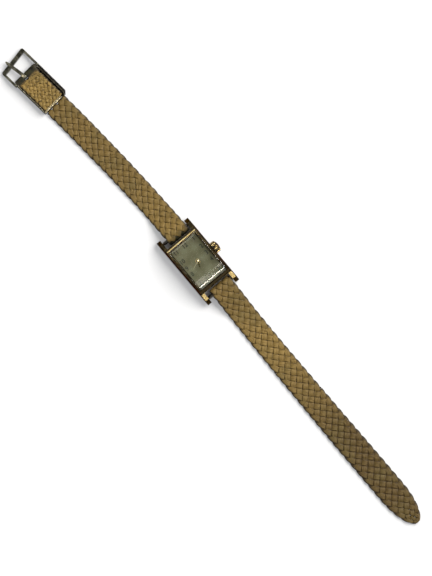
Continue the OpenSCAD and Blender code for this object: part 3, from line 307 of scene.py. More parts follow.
nickel_plate = finish("nickel_plate", nickel)
for name in ("mainplate", "barrel_bridge", "train_bridge", "balance_cock", "pallet_cock"):
    dress(name, nickel_plate, plate_edge)
inside = {
    finish("wheel_brass", brass): (
        "barrel", "barrel_cover", "centre_wheel", "third_wheel", "fourth_wheel", "balance_wheel",
        "minute_wheel", "hour_wheel", "setting_wheel"),
    finish("movement_steel", steel): (
        "winding_stem", "winding_pinion", "clutch_wheel", "setting_lever", "barrel_arbor",
        "ratchet_wheel", "crown_wheel", "click", "escape_wheel", "pallet_fork",
        "cannon_pinion"),
    finish("blued_steel", blued_steel): (
        "movement_screws", "mainspring", "hairspring", "click_spring"),
    finish("ruby", ruby): ("jewels",)}
for material, names in inside.items():
    for name in names:
        dress(name, material)

# The dial is a silvered plate that age has turned grey-green. It lies on the mainplate, under the
# bezel, and its numbers are printed in dark ink.
dial_tones = ((0.116, 0.118, 0.069), (0.184, 0.181, 0.118))
dial_edge = 0.03 * MM
ink_tones = ((0.008, 0.008, 0.005), (0.035, 0.036, 0.022))
number_h = 1.6 * MM
number_t = 0.02 * MM
number_weight = 0.035
number_narrow = 0.9
capital_h = 0.7
dial_numbers = {
    "12": (-0.1, 7.3), "1": (4.2, 7.5), "2": (4.6, 3.4), "3": (4.6, 0.4), "4": (4.5, -2.6),
    "5": (4.2, -6.9), "6": (0.1, -7.0), "7": (-4.5, -6.9), "8": (-4.6, -2.4), "9": (-4.8, 0.4),
    "10": (-4.6, 3.3), "11": (-4.2, 7.4)}


def dial_silver(wire, place):
    """Brushed along the watch, and stained grey-green in clouds"""
    stain = wire.noise(place, 260.0, 5.0)
    brushed = wire.grain(place, (4000.0, 160.0, 1.0))
    return {
        "Base Color": stain.rise(0.3, 0.7).mix(*dial_tones),
        "Metallic": 0.35,
        "Roughness": brushed * 0.2 + 0.36,
        "Normal": wire.bump(brushed, 0.003 * MM, 0.4),
    }


def dial_ink(wire, place):
    """Printing ink, worn thin in spots"""
    worn = wire.noise(place, 3000.0, 2.0)
    return {
        "Base Color": worn.mix(*ink_tones),
        "Roughness": worn * 0.2 + 0.35,
    }


def number_mesh(text, x, y):
    """One printed number, a little raised, its middle at x and y on the dial"""
    lettering = bpy.data.curves.new("number", "FONT")
    lettering.body = text
    lettering.size = 1.0
    lettering.align_x = "CENTER"
    lettering.align_y = "CENTER"
    holder = bpy.data.objects.new("number", lettering)
    lettering.extrude = number_t / number_h * capital_h
    lettering.offset = number_weight
    bpy.context.scene.collection.objects.link(holder)
    bpy.context.view_layer.update()
    mesh = bpy.data.meshes.new_from_object(
        holder.evaluated_get(bpy.context.evaluated_depsgraph_get()))
    bpy.data.objects.remove(holder)
    em = number_h / capital_h
    mesh.transform(Matrix.Translation((x * MM, y * MM, dial_top + number_t))
                   @ Matrix.Diagonal((em * number_narrow, em, em, 1)))
    return mesh


def new_piece(name, mesh, material, body, replaced=()):
    """A mesh becomes a piece of its own, which rides on a body"""
    mesh.name = name
    mesh.materials.clear()
    mesh.materials.append(material)
    piece = bpy.data.objects.new(name, mesh)
    bpy.context.scene.collection.objects.link(piece)
    if body:
        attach(piece, body)
    if replaced:
        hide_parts(*replaced)
    return piece


dress("dial", finish("dial_silver", dial_silver), dial_edge)
dial_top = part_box("dial")[1].z
ink = finish("dial_ink", dial_ink)
for text, (x, y) in dial_numbers.items():
    new_piece("number_" + text, number_mesh(text, x, y), ink, "case")

# The hands are stamped from gilt brass and pressed onto their pipes. The hour hand has gone dark,
# and the hub of the minute hand is still polished.
hand_tones = ((0.56, 0.48, 0.29), (0.84, 0.75, 0.50))
tarnish_tones = ((0.05, 0.045, 0.02), (0.14, 0.11, 0.05))
ridge_drop = 0.05
hub_points = 32
# A blade's rows are distance from the pipe, half width and height of the ridge. A hub's rows are
# radius and height.
hour_angle = 200.75
hour_z = (4.86, 4.94)
hour_blade = [(-0.8, 0.12, 0.01), (0.3, 0.17, 0.03), (1.4, 0.26, 0.03), (2.0, 0.20, 0.03),
              (3.0, 0.05, 0.01)]
hour_hub = [(0.72, 4.86), (0.72, 4.95), (0.60, 4.98)]
minute_angle = 249.0
minute_z = (5.06, 5.16)
minute_blade = [(-0.75, 0.12, 0.05), (-0.4, 0.34, 0.14), (0.0, 0.42, 0.17), (0.5, 0.30, 0.13),
                (1.0, 0.17, 0.06), (1.9, 0.15, 0.04), (4.0, 0.05, 0.01)]
minute_hub = [(0.34, 5.06), (0.34, 5.26), (0.16, 5.36)]


def hand_gilt(wire, place):
    """Gilt brass, a little dulled"""
    tone = wire.noise(place, 2500.0, 2.0)
    return {
        "Base Color": tone.mix(*hand_tones),
        "Metallic": 0.5,
        "Roughness": tone * 0.12 + 0.16,
    }


def hand_tarnish(wire, place):
    """The same, gone dark"""
    sockets = hand_gilt(wire, place)
    sockets["Base Color"] = wire.noise(place, 2500.0, 2.0).mix(*tarnish_tones)
    return sockets


def hand_polished(wire, place):
    """The same, still bright"""
    sockets = hand_gilt(wire, place)
    sockets["Metallic"] = 1.0
    return sockets


def loft(rings, bright_share=None, sharp=35, closed=False):
    """A skin over rings of points in millimetres, closed to a loop or capped at both ends. The
    second argument says how bright each point is coloured: worn bright on the sleeve, and on the
    bezel how much gilt shows through its painted shade."""
    rings = np.array(rings, float)
    count, around = rings.shape[:2]
    index = np.arange(count * around).reshape(count, around)
    caps = [] if closed else [index[0][::-1].tolist(), index[-1].tolist()]
    low = index if closed else index[:-1]
    high = np.roll(index, -1, axis=0) if closed else index[1:]
    faces = np.stack([low, np.roll(low, -1, axis=1), np.roll(high, -1, axis=1), high],
                     -1).reshape(-1, 4).tolist()
    mesh = bpy.data.meshes.new("loft")
    mesh.from_pydata((rings.reshape(-1, 3) * MM).tolist(), [], faces + caps)
    mesh.shade_smooth()
    mesh.set_sharp_from_angle(angle=math.radians(sharp))
    if bright_share is not None:
        bright_share = np.broadcast_to(np.asarray(bright_share, float), (count, around)).ravel()
        mesh.attributes.new("bright_share", "FLOAT_VECTOR", "POINT").data.foreach_set(
            "vector", np.stack([bright_share, bright_share * 0, bright_share * 0], -1).ravel())
    return mesh


def hand_blade(outline, clockwise, low, high):
    """A faceted blade with a ridge along it, turned clockwise from twelve by so many degrees"""
    turned = math.radians(-clockwise)
    reach = np.array((-math.sin(turned), math.cos(turned)))
    side = np.array((math.cos(turned), math.sin(turned)))
    brink = high - ridge_drop
    rings = []
    for far, half, ridge in outline:
        section = [(-half, low), (half, low), (half, brink), (0, brink + ridge), (-half, brink)]
        rings.append([(*(reach * far + side * x), z) for x, z in section])
    return loft(rings, sharp=5)


def hand_hub(rows):
    """The round hub that grips the pipe"""
    turn = np.linspace(0, 2 * np.pi, hub_points, endpoint=False)
    return loft([[(r * math.cos(a), r * math.sin(a), z) for a in turn] for r, z in rows], sharp=50)


dull_hand = finish("hand_gilt", hand_gilt)
dark_hand = finish("hand_tarnished", hand_tarnish)
bright_hub = finish("hand_polished", hand_polished)
for name, body, blade, hub, blade_metal, hub_metal in (
        ("hour_hand", "hour_parts", hand_blade(hour_blade, hour_angle, *hour_z),
         hand_hub(hour_hub), dark_hand, dark_hand),
        ("minute_hand", "minute_parts", hand_blade(minute_blade, minute_angle, *minute_z),
         hand_hub(minute_hub), dull_hand, bright_hub)):
    new_piece(name + "_blade", blade, blade_metal, body, (name,))
    new_piece(name + "_boss", hub, hub_metal, body, (name,))

# The bezel is the gilt frame that is snapped over the case middle and holds the crystal on a
# ledge. Its top falls away outwards. It is painted dark brown as shade, darker at the six, and a
# narrow facet at the twelve keeps its bright gilt.
bezel_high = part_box("bezel")[1] / MM
bezel_corner = 0.4
bezel_corner_least = 0.06
bezel_corner_change = 0.6
bezel_corner_points = 5
# Painted shade: the bezel's dark browns, and a darker brown at the six
bezel_shade_tones = ((0.10, 0.072, 0.032), (0.17, 0.125, 0.058))
bezel_near_shade = (0.085, 0.058, 0.024)
bezel_bright_from = (-8.0 * MM, 4.0 * MM)
# How far each corner of the section is in from the side, in from the end and below the top, and
# how much of its gilt shows through the painted shade
bezel_section = [
    (0.0, 0.0, -1.10, 0), (0.0, 0.0, -0.34, 0), (0.0, 0.20, -0.24, 0.1), (0.0, 0.22, -0.22, 1),
    (0.02, 0.56, -0.06, 1), (0.05, 0.60, 0.0, 0.6), (0.60, 0.62, 0.0, 0.3),
    (0.65, 0.65, -0.05, 0.2), (0.65, 0.65, -0.75, 0), (1.15, 1.25, -0.75, 0),
    (1.15, 1.25, -1.45, 0), (0.68, 1.18, -1.45, 0), (0.68, 1.18, -1.10, 0)]


def bezel_gilt(wire, place):
    """Bright gilt on the facet at the twelve, and painted dark brown as shade elsewhere, darker at
    the six
    """
    sockets = gilt(wire, place)
    far = place.axis("Y").rise(*bezel_bright_from)
    # Painted shade in dark brown, darker towards the six
    brown = far.mix(bezel_near_shade, wire.noise(place, 400.0).mix(*bezel_shade_tones))
    # The gilt shows through only on the facet, and only towards the twelve
    bright_share = wire.stored("bright_share").axis("X").rise(0.1, 0.7) * far
    sockets["Base Color"] = bright_share.mix(brown, sockets["Base Color"])
    return sockets


def frame_ring(x, y, z, corner):
    """A rectangle with round corners, of half width x and half length y"""
    return [(sx * (x - corner) + corner * math.cos(a), sy * (y - corner) + corner * math.sin(a), z)
            for sx, sy, start in ((1, 1, 0), (-1, 1, 90), (-1, -1, 180), (1, -1, 270))
            for a in np.radians(start + np.linspace(0, 90, bezel_corner_points))]


bezel_rings = [
    frame_ring(bezel_high.x - dx, bezel_high.y - dy, bezel_high.z + dz,
               max(bezel_corner_least, bezel_corner - dx * bezel_corner_change))
    for dx, dy, dz, worn in bezel_section]
bezel_mesh = loft(bezel_rings, [[row[3]] for row in bezel_section], sharp=25, closed=True)
new_piece("bezel_frame", bezel_mesh, finish("bezel_gilt", bezel_gilt), "case",
          ("bezel",))

# The crystal is moulded acrylic, arched along its length, with ends that roll down to the bezel
# and catch the light. It has gone a little cloudy, with fine rubs along it.
crystal_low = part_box("crystal")[0] / MM
crystal_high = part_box("crystal")[1] / MM
crystal_rise = 1.15
crystal_wall = 0.8
crystal_corner = 0.11
crystal_corner_share = 0.7
crystal_corner_points = 6
crystal_flat_gap = 0.12
crystal_ledge = 0.02
roll_near = 7.3
roll_far = 8.9
roll_drop = 0.72
roll_rings = 16
arch_rings = 33
crystal_tones = ((0.90, 0.90, 0.84), (0.98, 0.97, 0.92))


def acrylic(wire, place):
    """Clear, with a faint haze and long rubs"""
    haze = wire.noise(place, 300.0)
    rubs = wire.grain(place, (1500.0, 50.0, 100.0), 0.0)
    return {
        "Base Color": haze.mix(*crystal_tones),
        "Transmission Weight": 1.0,
        "IOR": 1.49,
        "Roughness": haze * 0.03 + rubs * 0.04,
        "Normal": wire.bump(rubs, 0.003 * MM, 0.35),
    }


def crystal_ring(y):
    """The section across the crystal at one place along it, hollow below"""
    end = crystal_high.y
    top = crystal_high.z - crystal_rise * (y / end) ** 2
    start = roll_near if y < 0 else roll_far
    past = max(0.0, (abs(y) - start) / (end - start))
    top -= roll_drop * (1 - math.sqrt(max(0.0, 1 - past * past)))
    low, x = crystal_low.z, crystal_high.x
    r = min(crystal_corner, (top - low) * crystal_corner_share)
    under = top - crystal_wall if abs(y) < end - crystal_wall else low + crystal_ledge
    turn = np.radians(np.linspace(0, 90, crystal_corner_points))
    right = [(x - r + r * math.cos(a), top - r + r * math.sin(a)) for a in turn]
    left = [(-px, pz) for px, pz in reversed(right)]
    side = x - crystal_wall
    flat = x - r - crystal_flat_gap
    section = [(x, low), *right, (flat, top), (0, top), (-flat, top), *left, (-x, low),
               (-side, low), (-side, under), (side, under), (side, low)]
    return [(px, y, pz) for px, pz in section]


def roll_places(start):
    """Places from the crystal's end back to where its roll starts, closest at the end"""
    turn = np.radians(np.linspace(90, 5, roll_rings))
    return [start + (crystal_high.y - start) * math.sin(a) for a in turn]


along_crystal = (roll_places(roll_far) + list(np.linspace(roll_far, -roll_near, arch_rings))
                 + [-y for y in reversed(roll_places(roll_near))])
new_piece("crystal_dome", loft([crystal_ring(y) for y in along_crystal]),
          finish("crystal_acrylic", acrylic), "case", ("crystal",))

# The crown is turned from gilt brass, with a domed end and fine knurls that hold grime. It is
# screwed onto the winding stem.
crown_edge = 0.05 * MM


def crown_gilt(wire, place):
    """Gilt, brown with grime in spots"""
    sockets = gilt(wire, place)
    grime = wire.noise(place, 900.0).rise(0.30, 0.62)
    sockets["Base Color"] = (grime * 0.75).mix(sockets["Base Color"], gold_brown_shade_and_grime)
    return sockets


dress("crown", finish("crown_gilt", crown_gilt), crown_edge)

# Two spring bars hold the strap between the lugs. Each is a steel tube with a sprung tip at both
# ends, which snaps into a hole in the lug.
bar_tones = ((0.07, 0.06, 0.05), (0.20, 0.18, 0.15))
bar_edge = 0.04 * MM
tip_edge = 0.03 * MM


def dull_steel(wire, place):
    """Steel in dark tones"""
    sockets = steel(wire, place)
    sockets["Base Color"] = wire.noise(place, 900.0).mix(*bar_tones)
    return sockets


bar_metal = finish("bar_steel", dull_steel)
for end in ("12", "6"):
    dress("spring_bar_" + end, bar_metal, bar_edge)
    for side in ("_tip_crown_side", "_tip_far_side"):
        dress("spring_bar_" + end + side, bar_metal, tip_edge)

# The strap is plaited from seven flat ribbons of fine tan cord, over one and under one. Each
# half goes round its spring bar and back under itself, and it bends at every ribbon.
strands = 7
# A ribbon: its turn's length and swing, its own size, its squareness and cords, and its waves
pitch = 23.8
swing = 5.0
ribbon_w = 2.12
ribbon_t = 0.74
ribbon_side_power = 0.62
ribbon_face_power = 0.45
cord_depth = 0.05
cord_spread = 9.5
wave = 0.33
flatness = 1.6
section_points = 28
ring_gap = 0.42
strand_shift = 3.7
# The plait's edge: where the ribbons turn back, and how thin they are pressed there
plait_w = 9.7
edge_inset = 0.05
edge_turn = 3.0
edge_thinning = 0.55
edge_band = (0.80, 1.04)
outer_ribbon = 3.8
# The way up from under the strap, round the spring bar and down onto the paper, and how much of
# its thickness the plait has there
bar_y = 13.0
bar_z = 2.6
wrap_r = 1.55
wrap_t = 0.95
wrap_step = 3
tuck_l = 9.5
tuck_z = 0.66
tuck_rise_l = 4
tuck_t = 0.45
tuck_t_gain = 0.40
tuck_full_l = 6
lying_z = 0.895
lying_sink = 0.145
lying_t_gain = 0.05
lying_t_reach = (2, 12)
# How finely the way is drawn, and how far it runs on straight past both ends
route_step = 0.1
bend_step = 0.02
side_span = 0.3
lead_in = 4.0
run_on = 30
# Rows of x, y, the turn in degrees and the plait's width, one at each place where a half bends
buckle_bends = [(0.7, 13, 0, 9.6), (0.5, 28, 1.5, 9.5), (-0.2, 43, 2.6, 9.6),
                (-1.2, 58, 3.6, 9.7), (-2.4, 73.4, 5.5, 9.7)]
tail_bends = [(0.7, -13, 180, 9.7), (0.35, -28, 178.8, 9.7), (0.1, -43, 179.5, 9.9),
              (0.05, -58, 180, 10.2), (0.05, -73, 180, 10.5), (0.1, -88, 180.5, 10.8),
              (0.2, -103, 180.3, 10.9)]
mouth_reach = 65.97
tip_reach = 113.0
tip_round = 14.6
tip_ribbon = 3.81
tip_ribbon_least = 0.38
tip_end = 0.9995
# Rows of distance from the spring bar and how dark the cloth is there. It is lighter at 40 and dull
# at 86, and past 108, which it reaches only round a bar, it is painted near black as shade.
buckle_darkness = [(0, 46), (10, 50), (22, 57), (32, 59), (60, 57)]
tail_darkness = [(0, 60), (8, 60), (20, 43), (30, 42), (42, 55), (57, 64), (70, 76)]
darkness_dull = (40.0, 86.0)
# Over this darkness the painted shade in the gaps grows deeper
darkness_deeper_gap_shade = (62.0, 72.0)
# Over this darkness the cloth turns to the near-black painted shade round the bars
darkness_bar_shade = (108.0, 116.0)
# How much painted shade the cloth gets round a bar, and where it fades out on the buckle half
bar_shade = 90
bar_shade_reach = (-1.6, 0.2)
tan_light = (0.195, 0.128, 0.037)
tan_dark = (0.098, 0.060, 0.015)
tan_olive = (0.085, 0.063, 0.020)
# Painted shade in the gaps and on the ribbons' sides, also the darkest dull cloth and dirt
tan_deep_shade_and_dirt = (0.018, 0.010, 0.003)
# Painted shade along the strap's edges
tan_edge_shade = (0.024, 0.020, 0.013)
# The near-black painted shade round the bars
tan_bar_shade = (0.016, 0.015, 0.005)
bar_shade_deep = (0.002, 0.002, 0.001)
tan_dull = 0.52


def smooth(value, low, high):
    """0 below low and 1 above high, smooth between them"""
    t = np.clip((np.asarray(value, float) - low) / (high - low), 0, 1)
    return t * t * (3 - 2 * t)


def plan_of(bends, last):
    """The middle line seen from above: reach, x, y and width, straight on past its ends"""
    turned = [math.radians(bend[2]) for bend in bends]
    spots = [np.array(bend[:2], float) for bend in bends]
    out = [np.array((-math.sin(a), math.cos(a))) for a in turned]
    rows = [(-lead_in, *(spots[0] - lead_in * out[0]), bends[0][3])]
    reach = 0.0
    for k in range(len(bends) - 1):
        a, b = spots[k], spots[k + 1]
        chord = np.linalg.norm(b - a)
        for t in np.arange(0, 1, bend_step):
            share_a = 2 * t ** 3 - 3 * t ** 2 + 1
            share_b = 3 * t ** 2 - 2 * t ** 3
            leave_a = t ** 3 - 2 * t ** 2 + t
            meet_b = t ** 3 - t ** 2
            spot = (share_a * a + leave_a * chord * out[k]
                    + share_b * b + meet_b * chord * out[k + 1])
            width = bends[k][3] + (bends[k + 1][3] - bends[k][3]) * share_b
            rows.append((reach + t * chord, *spot, width))
        reach += chord
    rows.append((reach, *spots[-1], bends[-1][3]))
    rows.append((reach + last, *(spots[-1] + out[-1] * last), bends[-1][3]))
    return np.array(rows)


def route(profile, plan, height, widths=None):
    """Where a plait runs: profile is reach and z along it, height the scale of its thickness"""
    reach, z = profile.T
    x, y, width = (np.interp(reach, plan[:, 0], plan[:, k]) for k in (1, 2, 3))
    at = np.stack([x, y, z], 1)
    along = np.concatenate([[0], np.cumsum(np.linalg.norm(np.diff(at, axis=0), axis=1))])
    ahead = np.gradient(at, along, axis=0)
    ahead /= np.linalg.norm(ahead, axis=1)[:, None]
    near, far = ([np.interp(reach + d, plan[:, 0], plan[:, k]) for k in (1, 2)]
                 for d in (-side_span, side_span))
    side = np.stack([far[1] - near[1], near[0] - far[0], np.zeros_like(x)], 1)
    side /= np.linalg.norm(side, axis=1)[:, None]
    spread, ribbon = widths(reach, width) if widths else (width / plait_w, width / plait_w)
    return {"along": along, "at": at, "side": side, "up": np.cross(side, ahead), "reach": reach,
            "spread": spread, "ribbon": ribbon, "height": height, "darkness": reach,
            "outer": (spread * outer_ribbon + ribbon * ribbon_w / 2) / (plait_w / 2)}


def plait(path, start, stop, steps_of, strand_count=strands, part=None, gap=ring_gap):
    """The ribbons between two places along a path, as one mesh of closed tubes"""
    fine = strands / strand_count
    turn_w = edge_turn * fine
    slope = swing / (pitch / 4)
    reach_x = plait_w / 2 - edge_inset - ribbon_w * fine / 2 + slope * turn_w / 2
    rings = max(2, int(round((stop - start) / gap)) + 1)
    t = np.linspace(start, stop, rings)
    turn = np.arange(section_points) * 2 * np.pi / section_points - np.pi / 2
    cross = np.sign(np.cos(turn)) * np.abs(np.cos(turn)) ** ribbon_side_power
    crown = (np.sign(np.sin(turn)) * np.abs(np.sin(turn)) ** ribbon_face_power
             * (1 + cord_depth * np.cos(cross * cord_spread)))
    points, faces, texture, spots = [], [], [], []
    for strand in range(strand_count):
        step = np.mod(steps_of(t) - strand * 2, 2 * strand_count)
        edge = np.mod(step + strand_count / 2, strand_count) - strand_count / 2
        rest = np.abs(edge) * pitch / 2 / strand_count
        x = np.where(rest < turn_w, reach_x - slope * (rest ** 2 + turn_w ** 2) / (2 * turn_w),
                     reach_x - slope * rest)
        x = x * np.where(np.abs(step - strand_count) < strand_count / 2, 1, -1)
        over = np.where(np.abs(edge) < 1, np.sin(np.pi * edge / 2),
                        -np.sign(edge) * np.cos(np.pi * edge))
        z = wave * np.tanh(over * flatness) / math.tanh(flatness)
        x = x * np.interp(t, path["along"], path["spread"])
        half = ribbon_w * fine / 2 * np.interp(t, path["along"], path["ribbon"])
        if part:
            x, z, half = part(t, x, z, half)
        lean = np.gradient(x, t)[:, None]
        across = cross[None, :] * half[:, None]
        where = t[:, None] - lean / np.sqrt(1 + lean ** 2) * across
        lateral = x[:, None] + across / np.sqrt(1 + lean ** 2)
        height = z[:, None] + crown * ribbon_t / 2
        outer = plait_w / 2 * np.interp(t, path["along"], path["outer"])
        brink = np.abs(lateral) / outer[:, None]
        lift = height * np.interp(where, path["along"], path["height"])
        lift *= 1 - edge_thinning * smooth(brink, *edge_band)
        grid = np.stack([np.interp(where, path["along"], path["at"][:, k])
                         + lateral * np.interp(where, path["along"], path["side"][:, k])
                         + lift * np.interp(where, path["along"], path["up"][:, k])
                         for k in range(3)], -1)
        index = strand * rings * section_points + np.arange(rings * section_points).reshape(
            rings, section_points)
        around = np.roll(index, -1, axis=1)
        sides = np.stack([index[:-1], around[:-1], around[1:], index[1:]], -1)
        faces += sides.reshape(-1, 4).tolist()
        faces += [index[0][::-1].tolist(), index[-1].tolist()]
        points.append(grid.reshape(-1, 3) * MM)
        shape = np.zeros_like(across)
        darkness = np.interp(t, path["along"], path["darkness"])[:, None] + shape
        texture.append(np.stack([t[:, None] + shape, across + shape,
                                 strand * strand_shift + shape], -1))
        spots.append(np.stack([brink, height, darkness], -1))
    mesh = bpy.data.meshes.new("plait")
    mesh.from_pydata(np.concatenate(points), [], faces)
    mesh.polygons.foreach_set("use_smooth", np.array([len(f) == 4 for f in faces]))
    for name, values in (("ribbon", texture), ("place", spots)):
        mesh.attributes.new(name, "FLOAT_VECTOR", "POINT").data.foreach_set(
            "vector", np.concatenate(values).ravel())
    mesh.update()
    return mesh


def cord_cloth(wire, place):
    """Fine cord along each ribbon, with painted shade in the gaps, on each ribbon's sides, along
    the strap's edges and round the bars, and duller and darker where its stored darkness is higher
    """
    ribbon = wire.stored("ribbon")
    spot = wire.stored("place")
    edge, height, darkness = (spot.axis(name) for name in "XYZ")
    fibres = wire.grain(ribbon, (0.9, 8.0, 1.0), 3.0)
    threads = wire.grain(ribbon, (0.3, 2.6, 1.0), 1.0)
    soiled = wire.noise(place, 130.0, 4.0).rise(0.42, 0.72)
    # Painted shade on the sides of each ribbon, where it dips into the gaps
    ribbon_side_shade = abs(ribbon.axis("Y")).rise(0.80, 1.04)
    dull = (tan_dull * fibres.rise(0.2, 0.9)).mix(tan_deep_shade_and_dirt, tan_light)
    # The near-black painted shade round the bars, speckled, and darker low in the plait
    bar_shade_texture = wire.noise(place, 900.0, 2.0).rise(0.35, 0.65) * height.rise(-0.1, 0.5)
    tan = (fibres * 0.6 + threads * 0.4).rise(0.30, 0.68).mix(tan_dark, tan_light)
    tan = darkness.rise(*darkness_dull).mix(tan, dull)
    tan = (soiled * 0.55).mix(tan, tan_olive)
    tan = (ribbon_side_shade * 0.75).mix(tan, tan_deep_shade_and_dirt)
    # Painted shade: the lower a point lies in the plait, the darker it is, deeper still where the
    # cloth is darker
    tan = (height - darkness.rise(*darkness_deeper_gap_shade) * 0.07).rise(-0.1, 0.5).mix(tan_deep_shade_and_dirt, tan)
    # Painted shade: near black where the cloth goes round a bar
    tan = darkness.rise(*darkness_bar_shade).mix(tan, bar_shade_texture.mix(bar_shade_deep, tan_bar_shade))
    return {
        # Painted shade along the strap's two edges
        "Base Color": edge.rise(0.83, 0.97).mix(tan, tan_edge_shade),
        "Roughness": fibres * 0.25 + 0.45,
        "Specular IOR Level": 0.15,
        "Normal": wire.bump(fibres * 0.5 + threads, 0.08 * MM, 0.7),
    }


def strap_steps(t):
    """How many ribbons a strand has crossed after so many millimetres"""
    return t / pitch * 2 * strands


def strap_half(name, bends, end, cuts, joints, covered, darkness_table, widths=None):
    """Cuts one half into pieces at the middle of each stretch, one piece for each joint"""
    under = np.arange(tuck_l, 0, -route_step)
    turn = np.radians(np.arange(270, 90, -wrap_step))
    over = np.arange(0, end + route_step / 2, route_step)
    fall_under = (1 + np.cos(np.pi * np.clip(under / tuck_rise_l, 0, 1))) / 2
    fall_over = 1 + np.cos(np.pi * np.clip(over / bar_y, 0, 1))
    low_z = tuck_z + (bar_z - wrap_r - tuck_z) * fall_under
    high_z = (lying_z + (bar_z + wrap_r - lying_z) * fall_over / 2
              - lying_sink * smooth(over, 0, bar_y))
    profile = np.stack([np.concatenate([under, wrap_r * np.cos(turn), over]),
                        np.concatenate([low_z, bar_z + wrap_r * np.sin(turn), high_z])], 1)
    height = np.concatenate([tuck_t + tuck_t_gain * smooth(-under, -tuck_l, -tuck_full_l),
                             np.full(len(turn), wrap_t),
                             wrap_t + lying_t_gain * smooth(over, *lying_t_reach)])
    plan = plan_of(bends, run_on)
    path = route(profile, plan, height, widths)
    path["darkness"] = np.interp(path["reach"], *zip(*darkness_table))
    # Painted shade: the buckle half goes near black where it turns round the spring bar, on the
    # side towards the case
    if name == "buckle_strap":
        path["darkness"] += bar_shade * (1 - smooth(path["reach"], *bar_shade_reach))
    top = len(under) + len(turn)
    ends = [0.0, *np.interp(cuts, path["reach"][top:], path["along"][top:])]
    for k, joint in enumerate(joints):
        mesh = plait(path, ends[k], ends[k + 1], strap_steps)
        piece = new_piece(f"{name}_plait_{k + 1}", mesh, cloth, None)
        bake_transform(piece)
        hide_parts(*covered[k])


def tail_widths(reach, width):
    """The tail's end is an ellipse, and its ribbons run together there"""
    past = np.clip((reach - (tip_reach - tip_round)) / tip_round, 0, tip_end)
    half = width / 2 * np.sqrt(1 - past ** 2)
    ribbon = np.clip(half / (width / 2), tip_ribbon_least, 1) * width / plait_w
    return np.clip((half - ribbon_w / 2 * ribbon) / tip_ribbon, 0, None), ribbon


cloth = finish("plaited_cord", cord_cloth)
strap_half("buckle_strap", buckle_bends, mouth_reach,
           cuts=(22.5, 37.5, 52.7, mouth_reach), joints=(15, 30, 45, 60.4),
           covered=[(f"buckle_strap_{k}",) for k in range(1, 5)],
           darkness_table=buckle_darkness)
strap_half("tail_strap", tail_bends, tip_reach,
           cuts=(22.5, 37.5, 52.5, 67.5, 82.5, tip_reach), joints=(15, 30, 45, 60, 75, 90),
           covered=[(f"tail_strap_{k}",) for k in range(1, 6)] + [("tail_strap_6", "tail_strap_7")],
           darkness_table=tail_darkness, widths=tail_widths)

# The strap's fold is a finer plait of eleven strands. It lies in the sleeve, goes round the hinge
# bar and comes back on top. Round the bar its strands part to leave room for the tongue.
hinge = np.array((-4.4128, 94.3033))
hinge_turn = math.radians(5.5)
hinge_z = 1.61
fold_strands = 11
fold_gap = 0.3
fold_r = 0.94
fold_top = 2.30
fold_low = 0.94
fold_w = 9.55
fold_t = 0.85
fold_bar_t = 0.55
fold_thinning = 0.30
fold_wrap_step = 5
fold_dip_y = -2.6
fold_thin_y = -0.2
fold_line = (-20, 4)
fold_phase = 0.5
mouth_y = -15.4
top_start = mouth_y + 0.62
low_end = mouth_y - 0.1
# Where the strands stop crossing on top, start to part, and are apart, and where they cross again
still_y = -3.3
part_y = -2.5
apart_y = -1.5
crossing_y = -3.0
closing_l = 1.0
parted_flattening = 0.5
# The slot beside the tongue, and the outer edges of the two bundles of strands at the bar
slot_from = -1.62
slot_to = 0.12
slot_mid = -0.45
bound_from = -4.97
bound_to = 5.36
fold_darkness = 40
# Where the fold's painted shade round the hinge bar fades out
fold_bar_shade_reach = (-2.3, -0.9)


def at_hinge(rows):
    """Points that are given from the hinge, along the buckle end, in the shared frame"""
    rows = np.asarray(rows, float)
    x, y, z = rows[..., 0], rows[..., 1], rows[..., 2]
    c, n = math.cos(hinge_turn), math.sin(hinge_turn)
    return np.stack([hinge[0] + x * c - y * n, hinge[1] + x * n + y * c, z], -1)


